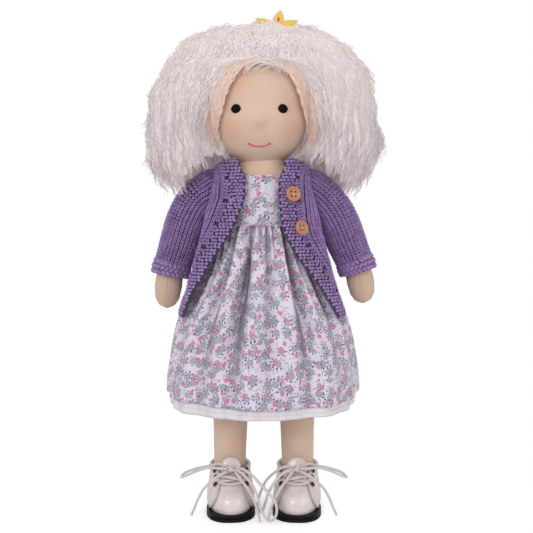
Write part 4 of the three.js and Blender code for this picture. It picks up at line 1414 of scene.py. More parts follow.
@dataclass
class Knit:
    """Lays stitches of yarn on knitting."""

    wale: float = 3.5
    course: float = 2.7
    bump: float = 3.1
    made: Gathered = field(default_factory=Gathered)
    draw: random.Random = field(default_factory=lambda: random.Random(3))

    def yarn(self, lie: Sequence[Vector], shift: Sequence[float], slant: float, size: Sequence[float]) -> None:
        """One rounded length of yarn.

        Args:
            lie: a place on the knitting, with the ways across, down and out.
            shift: how far across, down and out of that place it is.
            slant: its angle from the way down, in degrees, towards the way across.
            size: its half length, half width and half height.
        """
        here, side, down, out = lie
        turn = math.radians(slant + self.draw.uniform(-6, 6))
        along = down * math.cos(turn) + side * math.sin(turn)
        lift = shift[2] + self.draw.uniform(-0.1, 0.1)
        self.made.drop(here + side * shift[0] + down * shift[1] + out * lift, along, out, size)

    def stocking(self, lie: Sequence[Vector]) -> None:
        """One V: two lengths of yarn that slant towards each other, with a furrow on either side.

        Args:
            lie: a place on the knitting, with the ways across, down and out.
        """
        for side in (-1, 1):
            shift = (side * self.wale * 0.185, 0, -0.1)
            self.yarn(lie, shift, -22 * side, (self.course * 0.72, self.wale * 0.18, 0.9))

    def garter(self, lie: Sequence[Vector], odd: bool) -> None:
        """One bump that lies across the knitting."""
        shift = (self.draw.uniform(-0.3, 0.3), self.draw.uniform(-0.25, 0.25), 0.3 if odd else -0.05)
        self.yarn(lie, shift, 90 + (26 if odd else -26), (1.7, 1.25, 1.15))

    def leaf(self, lie: Sequence[Vector], row: int, place: float) -> None:
        """One length of a leaf: high along its spine, and missing where a hole is.

        Args:
            lie: a place on the knitting, with the ways across, down and out.
            row: the row's number.
            place: how far from the leaf's middle it is.
        """
        step = row % 7
        if step == 6 and place < 0:
            return
        high = 1.5 if step in (1, 2, 3) and place < 0 else 0.95
        slant = -38 if place < 0 else 32
        self.yarn(lie, (0, 0, 0.3 * high - 0.1), slant, (1.9, 0.72, high))


CARDIGAN = Form(
    [
        (154.6, 68.4, 61.9), (156.6, 68, 61.5), (174.7, 60, 57.2), (189.7, 52, 52.9), (203.7, 46.2, 48),
        (216.7, 42.2, 44), (244.8, 40, 36.9), (265, 39.9, 32.6), (272.5, 39.2, 31.4), (277.2, 37, 29.8),
        (280.4, 33, 28), (282.6, 28.2, 26),
    ],
    2.6,
)
COLLAR_TOP = 282.6
BAND_WIDTH = 13.0
LEAF_WIDTH = 9.0
EDGES = {
    "left": (
        (23.5, 289.7), (13.4, 265), (13.3, 252.6), (15, 232.5), (18.8, 220.6), (26.9, 205.9), (36.2, 191.5),
        (46.9, 174.6), (62.4, 154.5),
    ),
    "right": (
        (23.5, 289.7), (13.1, 265.7), (13.6, 250.7), (17.5, 239.6), (23.5, 225.8), (32.4, 207.8), (41.1, 189),
        (52.3, 172.7), (65.1, 154.5),
    ),
}
FLARE = ((154, 0), (168, 3), (181, 7), (198, 10.5), (217, 11.5), (238, 8.5), (255, 3.5), (268, 0), (290, 0))
FLARE_ANGLE = math.radians(58)
FLARE_SPREAD = math.radians(15)


@dataclass
class Cardigan:
    """The knitted cardigan: a back, two fronts with their bands, and the collar's edge."""

    front_hem: float = 156.6
    back_hem: float = 168.6
    samples: int = 70
    behind: float = 1.5
    ground_wall: float = 1.2
    leaf_places: tuple[float, ...] = (-3.4, -1.5, 0.6, 2.5)
    hem_rows: int = 4

    def edge_angle(self, word: str, z: float) -> float:
        """The angle from the front at which a front edge lies at a height."""
        widths, heights = zip(*EDGES[word][::-1])
        return abs(CARDIGAN.angle_of(z, float(np.interp(z, heights, widths))))

    def wall(self, z: float, angle: float) -> Vector:
        """A point of the knitting's outer face, with the fronts spread a little forward of the arms.

        Args:
            z: its height.
            angle: the angle from the front.

        Returns:
            The point.
        """
        point = CARDIGAN.around(CARDIGAN.level(z), angle)
        spread = float(np.interp(z, *zip(*FLARE)))
        if abs(angle) < math.pi / 2:
            bow = math.exp(-(((abs(angle) - FLARE_ANGLE) / FLARE_SPREAD) ** 2))
            point.x += math.copysign(spread * bow, angle)
        return point

    def hem(self, angle: float) -> float:
        """How low the knitting hangs at an angle from the front."""
        rise = eased(abs(angle), math.radians(66), math.radians(92))
        return blended(self.front_hem, self.back_hem, rise)

    def cloth(self, start: Callable[[float], float], end: float, rows: int = 60) -> Cloth:
        """The knitting between two angles, which may change with height.

        Args:
            start: the first angle at a share of the length.
            end: the last angle.
            rows: how many rows are kept.

        Returns:
            The cloth.
        """
        made = []
        for k in range(rows):
            t = k / (rows - 1)
            angles = [blended(start(t), end, i / (self.samples - 1)) for i in range(self.samples)]
            made.append(np.array([self.wall(blended(COLLAR_TOP, self.hem(angle), t), angle) for angle in angles]))
        return Cloth(made)

    def front(self, word: str) -> Cloth:
        """One front with its band, from its edge round to the side.

        Args:
            word: left or right.

        Returns:
            The cloth.
        """
        side = SIDES[word]

        def start(t: float) -> float:
            """The angle of the front edge."""
            z = blended(COLLAR_TOP, self.front_hem + 1, t)
            return side * min(self.edge_angle(word, z), math.radians(84))

        return self.cloth(start, side * math.pi / 2)

    def ground(self, cloth: Cloth, name: str, first: float, last: float, out: float) -> bpy.types.Object:
        """The plain knitting behind the stitches, from so far across to so far, in dark wool as painted shade between
        the stitches.

        Args:
            cloth: the cloth.
            name: the piece's name.
            first: how far across it starts.
            last: how far across it ends, if the cloth is that wide.
            out: 1 where the cloth's own normal points outwards, or -1.

        Returns:
            The piece.
        """

        def place(u: float, v: float) -> Vector:
            """A point of the knitting, a little inside its stitches.

            Args:
                u: the share of the way across.
                v: the share of the way along.

            Returns:
                The point.
            """
            end = min(last, cloth.width(v))
            here, _, _, facing = cloth.lie(blended(min(first, end - 0.5), end, u), v, out)
            return here - facing * self.behind

        return thickened(finished(sheet(36, 56, place), name, SHADED_WOOL), self.ground_wall)

    def stitched(
        self, cloth: Cloth, name: str, parts: Sequence[tuple[Stitch, float, float]], out: float
    ) -> bpy.types.Object:
        """The stitches of a part of the cardigan.

        Args:
            cloth: the cloth.
            name: the piece's name.
            parts: each stitch with how far across it starts and ends.
            out: 1 where the cloth's own normal points outwards, or -1.

        Returns:
            The piece.
        """
        knit = Knit()
        rows = round(cloth.length / knit.course)
        for row in range(rows):
            t = (row + 0.5) / rows
            width = cloth.width(t)
            for stitch, first, last in parts:
                end = min(last, width)
                if stitch is Stitch.STOCKING:
                    across = first + knit.wale / 2
                    while across + knit.wale / 2 <= end:
                        knit.stocking(cloth.lie(across, t, out))
                        across += knit.wale
                elif stitch is Stitch.GARTER:
                    odd = row % 2 == 1
                    across = first + (1.1 if odd else 2.6)
                    while across <= end - 0.4:
                        knit.garter(cloth.lie(across, t, out), odd)
                        across += knit.bump
                else:
                    middle = (first + last) / 2
                    for place in self.leaf_places:
                        if middle + place < width - 1:
                            knit.leaf(cloth.lie(middle + place, t, out), row, place)
        return knit.made.piece(name, WOOL)

    def joined(self, piece: bpy.types.Object, stitches: bpy.types.Object, nodes: Sequence[str], flat: tuple) -> None:
        """Hides the nodes that a part of the cardigan replaces, and bakes the part and its stitches where they stand.

        Args:
            piece: the plain knitting.
            stitches: its stitches.
            nodes: the nodes that it replaces.
            flat: its flat size, in metres, which is not used.
        """
        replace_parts(piece, *nodes)
        for part in (piece, stitches):
            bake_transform(part)

    def build(self) -> None:
        """Builds the cardigan's parts."""
        for word, side in SIDES.items():
            cloth = self.front(word)
            out = -side
            band = "button_band" if word == "left" else "buttonhole_band"
            ground = self.ground(cloth, f"{band}_knit", 0, BAND_WIDTH, out)
            stitches = self.stitched(cloth, f"{band}_stitches", [(Stitch.GARTER, 0, BAND_WIDTH)], out)
            self.joined(ground, stitches, [band], cloth.cut(0, BAND_WIDTH))
            name = f"cardigan_front_{word}"
            ground = self.ground(cloth, f"{name}_knit", BAND_WIDTH, math.inf, out)
            plain = BAND_WIDTH + LEAF_WIDTH
            parts = [(Stitch.LEAF, BAND_WIDTH, plain), (Stitch.STOCKING, plain, math.inf)]
            stitches = self.stitched(cloth, f"{name}_stitches", parts, out)
            self.joined(ground, stitches, [name], cloth.cut(BAND_WIDTH))
        self.back()

    def back(self) -> None:
        """The back, in stocking stitch with a garter hem."""
        cloth = self.cloth(lambda t: math.pi / 2, 3 * math.pi / 2)
        out = -1
        ground = self.ground(cloth, "cardigan_back_knit", 0, math.inf, out)
        knit = Knit()
        rows = round(cloth.length / knit.course)
        for row in range(rows):
            t = (row + 0.5) / rows
            hem = row >= rows - self.hem_rows
            count = int(cloth.width(t) / (knit.bump if hem else knit.wale))
            for i in range(count):
                lie = cloth.lie((i + 0.5) * (cloth.width(t) / count), t, out)
                if hem:
                    knit.garter(lie, row % 2 == 1)
                else:
                    knit.stocking(lie)
        stitches = knit.made.piece("cardigan_back_stitches", WOOL)
        self.joined(ground, stitches, ["cardigan_back"], cloth.cut())


# Arms and sleeves

ARM_ROUTES = {
    "left": ((0, 3.5), (10, -4.5), (20.5, -18.5), (31, -43), (38, -60), (41.5, -75), (43, -89)),
    "right": ((0, 3.5), (11.5, -4.5), (20.5, -19), (28.5, -43), (34.5, -61.5), (37, -77.5), (38, -93)),
}
SHOULDER = (40.0, 253.6)
CUFF_AT = 0.66


@dataclass
class Arm:
    """One arm with its hand, sleeve and cuff."""

    word: str
    sleeve_radius: float = 17.2
    cuff_radius: float = 15.4
    cuff_length: float = 9.0
    arm_stations: tuple = (
        (0, 12.5, 12), (0.25, 11.9, 11.5), (0.45, 11, 10.5), (0.67, 10.5, 9.8), (0.83, 11.2, 9),
        (0.92, 9.9, 7.9), (0.97, 6.8, 5.6), (0.992, 3.2, 2.8), (1, 0, 0),
    )
    sleeve_stations: tuple = ((0, 17.2, 16.3), (0.28, 16.7, 15.7), (0.5, 15.8, 14.8), (0.64, 14.7, 13.8))

    def __post_init__(self) -> None:
        """Draws the arm's line."""
        self.side = SIDES[self.word]
        points = ARM_ROUTES[self.word]
        self.route = Route([(self.side * (SHOULDER[0] + x), 0, SHOULDER[1] + z) for x, z in points])
        self.body = f"arm_{self.word}"

    def ring(self, share: float, angle: float, a: float, b: float, back: float = 0.0) -> Vector:
        """A point round the arm's line, with back as a step towards the shoulder.

        Args:
            share: the share of the arm's line.
            angle: the angle round it.
            a: the half width.
            b: the half depth.
            back: how far back towards the shoulder.

        Returns:
            The point.
        """
        along = self.route.along(share)
        out = Vector((0, 1, 0)).cross(along).normalized()
        deep = along.cross(out)
        centre = self.route.at(share) - along * back
        return centre + out * (a * math.cos(angle)) + deep * (b * math.sin(angle))

    def size(self, stations: Sequence[tuple], share: float) -> tuple[float, float]:
        """The half width and half depth at a share of the line."""
        shares = [s[0] for s in stations]
        return tuple(float(np.interp(share, shares, [s[i] for s in stations])) for i in (1, 2))

    def tube_place(self, stations: Sequence[tuple], last: float, dome: float, inside: float = 0.0) -> Place:
        """A tube with a round shoulder: the first dome of its length is the shoulder ball.

        Args:
            stations: shares of the line, with the half width and half depth there.
            last: the share of the line where the tube ends.
            dome: the share of the tube that is the shoulder ball.
            inside: how far inside the stations it lies.

        Returns:
            A function from u and v to a point.
        """

        def place(u: float, v: float) -> Vector:
            """A point of the tube.

            Args:
                u: the share of the way across.
                v: the share of the way along.

            Returns:
                The point.
            """
            angle = TURN * u
            if v < dome:
                a, b = self.size(stations, 0)
                turn = math.pi / 2 * v / dome
                a, b = (a - inside) * math.sin(turn), (b - inside) * math.sin(turn)
                return self.ring(0, angle, a, b, (stations[0][1] - inside) * math.cos(turn))
            share = last * (v - dome) / (1 - dome)
            a, b = self.size(stations, share)
            return self.ring(share, angle, max(a - inside, 0), max(b - inside, 0))

        return place

    def skin(self) -> None:
        """The stuffed arm and mitten hand."""
        place = self.tube_place(self.arm_stations, 1, 0.1)
        # The arm wears the darker jersey, as painted shade.
        piece = finished(sheet(40, 70, place), f"{self.body}_jersey", SHADED_HAND)
        stuffed(piece, self.body, (f"{self.body}_skin", f"{self.body}_stuffing"))
        made = Gathered()
        for i in range(26):
            share = 0.7 + 0.29 * i / 25
            a, b = self.size(self.arm_stations, share)
            centre = self.ring(share, -math.pi / 2 * 0.97, a, b)
            facing = (centre - self.route.at(share)).normalized()
            made.drop(centre + facing * 0.02, self.route.along(share), facing, (0.75, 0.2, 0.2))
        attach(made.piece(f"{self.body}_seam", SEAM_THREAD), self.body)

    def sleeve(self) -> None:
        """The knitted sleeve."""
        dome, last = 0.14, CUFF_AT
        place = self.tube_place(self.sleeve_stations, last, dome, 1.5)
        name = f"sleeve_{self.word}"
        # The knitting behind the sleeve's stitches is the dark wool, as painted shade.
        ground = finished(sheet(44, 50, place), f"{name}_knit", SHADED_WOOL)
        thickened(ground, 1.0, self.route.at(last / 2))
        outer = self.tube_place(self.sleeve_stations, last, dome)
        knit = Knit()
        columns, widest, narrowest = 30, 3.9, 1.3
        above = round(math.pi / 2 * self.sleeve_radius / knit.course)
        straight = round(self.route.length * last / knit.course)
        rows = [dome * (k + 0.5) / above for k in range(1, above)]
        rows += [blended(dome, 1, (k + 0.5) / straight) for k in range(straight)]
        for v in rows:
            for i in range(columns):
                u = (i + 0.5) / columns
                here = outer(u, v)
                side = outer(u + 0.01, v) - outer(u - 0.01, v)
                down = outer(u, min(v + 0.01, 1)) - outer(u, v - 0.01)
                knit.wale = min(widest, side.length / 0.02 / columns)
                if knit.wale < narrowest:
                    continue
                facing = side.cross(down).normalized()
                centre = self.route.at(max(0, last * (v - dome) / (1 - dome)))
                if facing.dot(here - centre) < 0:
                    facing.negate()
                knit.stocking((here, side.normalized(), down.normalized(), facing))
        stitches = knit.made.piece(f"{name}_stitches", WOOL)
        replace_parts(ground, name)
        seam, free = (self.side * 0.030, 0, 0.264), (self.side * 0.050, 0, 0.244)
        for part in (ground, stitches):
            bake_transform(part)
            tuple(seam)
            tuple(free)

    def cuff(self) -> None:
        """The garter-stitch cuff, a little wider than the sleeve's end."""
        start = CUFF_AT - 0.012
        end = start + (self.cuff_length + 1.6) / self.route.length
        taper = 0.75

        def place(u: float, v: float, radius: float = self.cuff_radius - 1.2) -> Vector:
            """A point of the cuff, which is full in its middle."""
            full = radius + 0.7 * math.sin(math.pi * v)
            return self.ring(blended(start, end, v), TURN * u, full, full - taper)

        name = f"cuff_{self.word}"
        # The knitting behind the cuff's stitches is the dark wool, as painted shade.
        ground = finished(sheet(44, 8, place), f"{name}_knit", SHADED_WOOL)
        thickened(ground, 1.6, self.route.at((start + end) / 2))
        knit = Knit()
        rows, count = 3, 24
        for row in range(rows):
            v = (row + 0.5) / rows
            for i in range(count):
                u = (i + (0.5 if row % 2 else 0)) / count
                here = place(u, v, self.cuff_radius - 0.8)
                side = place(u + 0.01, v, self.cuff_radius) - place(u - 0.01, v, self.cuff_radius)
                down = self.route.along(blended(start, end, v))
                facing = (here - self.route.at(blended(start, end, v))).normalized()
                slant = 50 if row % 2 else 130
                knit.yarn((here, side.normalized(), down, facing), (0, 0, 0), slant, (2.6, 1.75, 1.3))
        stitches = knit.made.piece(f"{name}_stitches", WOOL)
        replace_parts(ground, name)
        for part in (ground, stitches):
            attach(part, self.body)

    def build(self) -> None:
        """Builds the arm, its sleeve and its cuff."""
        self.skin()
        self.sleeve()
        self.cuff()


# The dress

WAIST = 228.6
SKIRT = Form(
    [
        (84.2, 75.6, 65.2), (94.1, 76.5, 66), (104, 76.3, 65.8), (125.3, 73.2, 63.5), (152.1, 66.6, 58.7),
        (174.9, 55.1, 49.2), (203.1, 40.7, 40.4), (217.9, 37.4, 33.5), (228.6, 35.2, 30.8),
    ],
    2.05,
)
FOLD_WIDTHS = (2.8, 4.6)
STEEP_SIDE, SOFT_SIDE = 0.75, 1.4


@dataclass(frozen=True)
class Fold:
    """One long fold of the skirt: a valley at an angle that drifts on its way down."""

    top: float
    bottom: float
    depth: float
    start: float = 0.0
    fade: float = 1.0
    lean: float = 1.0

    def drawn(self, angle: float, t: float) -> float:
        """How deep the fold is at an angle in degrees and a share of the skirt's length.

        Args:
            angle: the angle from the front, in degrees.
            t: the share of the length.

        Returns:
            The depth.
        """
        centre = blended(self.top, self.bottom, t)
        away = (angle - centre + 180) % 360 - 180
        wide = blended(*FOLD_WIDTHS, eased(t, 0, 0.8))
        steep = away / (wide * (STEEP_SIDE if away * self.depth * self.lean > 0 else SOFT_SIDE))
        strength = eased(t, self.start - 0.02, self.start + 0.3) * blended(1, self.fade, eased(t, 0.35, 1))
        ridge = 0.3 * math.exp(-((abs(steep) - 1.9) ** 2) * 1.5)
        return self.depth * strength * (math.exp(-(steep**2)) - ridge)


@dataclass
class Dress:
    """The dress: a bodice, a gathered skirt and a plain lining."""

    hem: float = 94.1
    lining_hem: float = 84.6
    gathers: int = 36
    folds: tuple[Fold, ...] = (
        Fold(-36, -42, 9, 0, 0.2, -1),
        Fold(-14, -20, 12, 0, 0.15, -1),
        Fold(9, 3, 4.5, 0, 0.3),
        Fold(31, 31, 11, 0, 0.2),
        Fold(53, 54, 4.5, 0, 0.4),
        Fold(75, 76, 4.5, 0.1, 0.35),
        Fold(98, 96, 5.5, 0, 0.35, -1),
        Fold(124, 121, 4.5, 0.1, 0.4),
        Fold(149, 150, 6.0, 0, 0.4, -1),
        Fold(176, 174, 4.5, 0.05, 0.4),
        Fold(203, 200, 6.0, 0, 0.4),
        Fold(229, 232, 4.5, 0.08, 0.35, -1),
        Fold(255, 258, 5.0, 0, 0.35),
        Fold(284, 283, 4.5, 0.1, 0.35, -1),
        Fold(303, 302, 4.0, 0, 0.35),
    )

    def drape(self, angle: float, t: float) -> float:
        """How far the skirt stands in or out at an angle and a share of its length.

        Args:
            angle: the angle from the front.
            t: the share of the length.

        Returns:
            The distance outwards.
        """
        degrees = math.degrees(angle)
        pleat = self.pleat(angle, t)
        wide = math.sin(19 * angle + 0.9 * math.sin(5 * angle)) * 0.9 * math.exp(-(((t - 0.12) / 0.16) ** 2))
        swell = 1.9 * math.sin(7 * angle + 2.1) * eased(t, 0.15, 0.7) + 0.7 * math.sin(12 * angle) * eased(t, 0.4, 1)
        return pleat + wide + swell + 1.9 * eased(t, 0.0, 0.06) - sum(f.drawn(degrees, t) for f in self.folds)

    def hanging(self, low: float, inside: float, share: float) -> Place:
        """The skirt or its lining, down to a height, with a share of the skirt's folds.

        Args:
            low: how low it hangs.
            inside: how far inside the skirt it lies.
            share: its share of the folds.

        Returns:
            A function from u and v to a point.
        """

        def place(u: float, v: float) -> Vector:
            """A point of the cloth.

            Args:
                u: the share of the way across.
                v: the share of the way along.

            Returns:
                The point.
            """
            angle = (u - 0.5) * TURN
            dip = 1.3 * math.cos(angle) + 0.8 * math.sin(2 * angle + 0.6)
            z = blended(WAIST, low - dip * v, v)
            t = (WAIST - z) / (WAIST - self.hem)
            out = self.drape(angle, min(t, 1.05))
            return SKIRT.around(SKIRT.level(z), angle, min(out, out * share) - inside)

        return place

    def lay(self, place: Place, length: float) -> Callable[[float, float], tuple[float, float]]:
        """Measures the cloth round each of its rows, so that the print keeps its size.

        Args:
            place: where a point at u and v goes.
            length: how long the cloth is.

        Returns:
            A function from u and v to a place on the flat cloth.
        """
        steps, rows = 360, 48
        table = np.zeros((rows + 1, steps + 1))
        for row in range(rows + 1):
            line = np.array([place(i / steps, row / rows) for i in range(steps + 1)])
            table[row] = runs(line)
            table[row] -= table[row, steps // 2]

        def flat(u: float, v: float) -> tuple[float, float]:
            """The point's place on the cloth.

            Args:
                u: the share of the way across.
                v: the share of the way along.

            Returns:
                The place on the flat cloth.
            """
            row, step = min(int(v * rows), rows - 1), min(int(u * steps), steps - 1)
            first, second = (
                blended(float(table[row + k, step]), float(table[row + k, step + 1]), u * steps - step) for k in (0, 1)
            )
            return blended(first, second, v * rows - row), -v * length

        return flat

    def shaded(self, skirt: bpy.types.Object) -> None:
        """Gives each point of the skirt how deep in a fold or gather it lies, which its finish reads as painted shade.

        Args:
            skirt: the skirt.
        """
        fold = skirt.data.attributes.new("fold", "FLOAT", "POINT")
        for i, vert in enumerate(skirt.data.vertices):
            x, y, z = vert.co / MM
            angle = math.atan2(x, -y)
            t = (WAIST - z) / (WAIST - self.hem)
            # The painted shade reaches up to the waist, above where the folds themselves begin.
            deep = sum(max(0.0, f.drawn(math.degrees(angle), max(t, 0.2))) for f in self.folds) / 10
            gather = max(0.0, -self.pleat(angle, t)) / 3
            fold.data[i].value = min(1.0, 1.2 * deep + gather)

    def pleat(self, angle: float, t: float) -> float:
        """How far a gather stands in or out near the waist.

        Args:
            angle: the angle from the front.
            t: the share of the length.

        Returns:
            The distance outwards.
        """
        ripple = math.sin(self.gathers * angle + 1.4 * math.sin(3 * angle) + 0.9 * math.sin(8 * angle))
        reach = 0.15 + 0.06 * math.sin(5 * angle) + 0.05 * math.sin(13 * angle + 1)
        return 2.4 * ripple * math.exp(-((t / reach) ** 2))

    def skirt(self) -> None:
        """The printed skirt and the lining that shows below it."""
        length = WAIST - self.hem
        place = self.hanging(self.hem, 0, 1)
        skirt = finished(sheet(360, 96, place, self.lay(place, length)), "skirt_cloth", PRINT)
        self.shaded(skirt)
        thickened(skirt, 0.7)
        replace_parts(skirt, "dress_skirt")
        line = [place(i / 180, 0.93) for i in range(181)]
        hem = finished(tube(line, 0.28, 6), "skirt_hem_stitch", PRINT)
        lining_place = self.hanging(self.lining_hem, 1.9, 0.72)
        lining = finished(sheet(240, 60, lining_place, self.lay(lining_place, length + 9)), "lining_cloth", COTTON)
        thickened(lining, 0.6)
        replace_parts(lining, "dress_lining")
        seam = Gathered()
        for i in range(150):
            here = lining_place((i + 0.5) / 150, 0.965)
            ahead = lining_place((i + 1.0) / 150, 0.965)
            facing = Vector((here.x, here.y, 0)).normalized()
            seam.drop(here + facing * 0.1, ahead - here, facing, (1.05, 0.22, 0.2))
        stitches = seam.piece("lining_hem_stitches", CREAM_THREAD)
        for part in (skirt, hem, lining, stitches):
            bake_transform(part)

    def neckline(self, angle: float) -> float:
        """How high the bodice reaches at an angle from the front.

        Args:
            angle: the angle from the front.

        Returns:
            The height.
        """
        front = eased(abs(angle), math.radians(48), math.radians(12))
        away = min(1.0, abs(angle) / math.radians(52))
        return blended(275.2, 267.6, 1 - away**2) if front or away < 1 else 275.2

    def bodice(self) -> None:
        """The fitted bodice with its bound neck, cut away at the armholes."""
        out, chest, length = 1.7, 31, 42

        def place(u: float, v: float) -> Vector:
            """A point of the bodice.

            Args:
                u: the share of the way across.
                v: the share of the way along.

            Returns:
                The point.
            """
            angle = (u - 0.5) * TURN
            z = blended(WAIST - 1.2, self.neckline(angle), v)
            return TORSO.around(TORSO.level(z), angle, out + 0.15 * math.sin(9 * angle) * (1 - v))

        def lay(u: float, v: float) -> tuple[float, float]:
            """Where on the flat cloth a point is."""
            return (u - 0.5) * TURN * chest, v * length + 3

        made = sheet(120, 40, place, lay)
        middles = ((face, face.calc_center_median()) for face in made.faces)
        hidden = [f for f, at in middles if abs(at.x) > 12 and math.hypot(at.y, at.z - SHOULDER[1]) < 17.5]
        bmesh.ops.delete(made, geom=hidden, context="FACES")
        bodice = finished(made, "bodice_cloth", PRINT)
        thickened(bodice, 0.7)
        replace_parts(bodice, "dress_bodice")
        neck = [place(i / 160, 1.0) for i in range(161)]
        binding = finished(tube([p + Vector((0, 0, 0.1)) for p in neck], 0.75, 10), "neck_binding", PRINT)
        waist = [TORSO.around(TORSO.level(WAIST), (i / 180 - 0.5) * TURN, out + 1.1) for i in range(181)]
        seam = finished(tube(waist, 0.9, 8), "waist_seam", PRINT)
        for part in (bodice, binding, seam):
            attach(part, "torso")

    def build(self) -> None:
        """Builds the dress."""
        self.bodice()
        self.skirt()


# Hair and clip

HAIR_Y = 8.0
HAIR_TOP = 391.8
HAIR_FORM = Form(
    [
        (z, a, b, 1.0, HAIR_Y)
        for z, a, b in (
            (244, 70, 36), (254, 79, 40), (262, 84.5, 44.5), (272, 87, 48), (283, 91.5, 50.8), (297, 95, 53),
            (317, 93, 54), (334.6, 89.5, 53), (352.6, 84, 49), (368, 74, 42), (378, 63.5, 34), (385, 50, 25),
            (389, 36, 16), (391.2, 18, 8), (HAIR_TOP, 0, 0),
        )
    ],
    2.3,
)
FACE_ARCH = (
    (240, 20), (278, 20), (284, 25), (290, 31), (296, 35.5), (303, 38), (311, 37.4), (321, 35), (331, 31.5),
    (340, 27.5), (347, 23), (351, 19), (354, 14.5), (356, 9), (357, 0),
)
FLAT_FRONT = ((0, -46), (18, -44), (30, -40), (42, -34), (56, -33), (70, -29), (84, -17), (97, 8))
SHOULDERS = (
    (0, 284), (33, 284), (43, 279), (51, 274), (59, 269), (66, 262), (72, 256), (79, 263), (86, 274), (94, 284),
)


@dataclass(frozen=True)
class Strand:
    """One crimped strand: where it lies round the head, and its own waves."""

    share: float
    front: bool
    side: int
    start: float
    end_z: float
    depth: float
    phase: float
    wave: float
    swing: float
    flyaway: float
    inward: float = 0.0


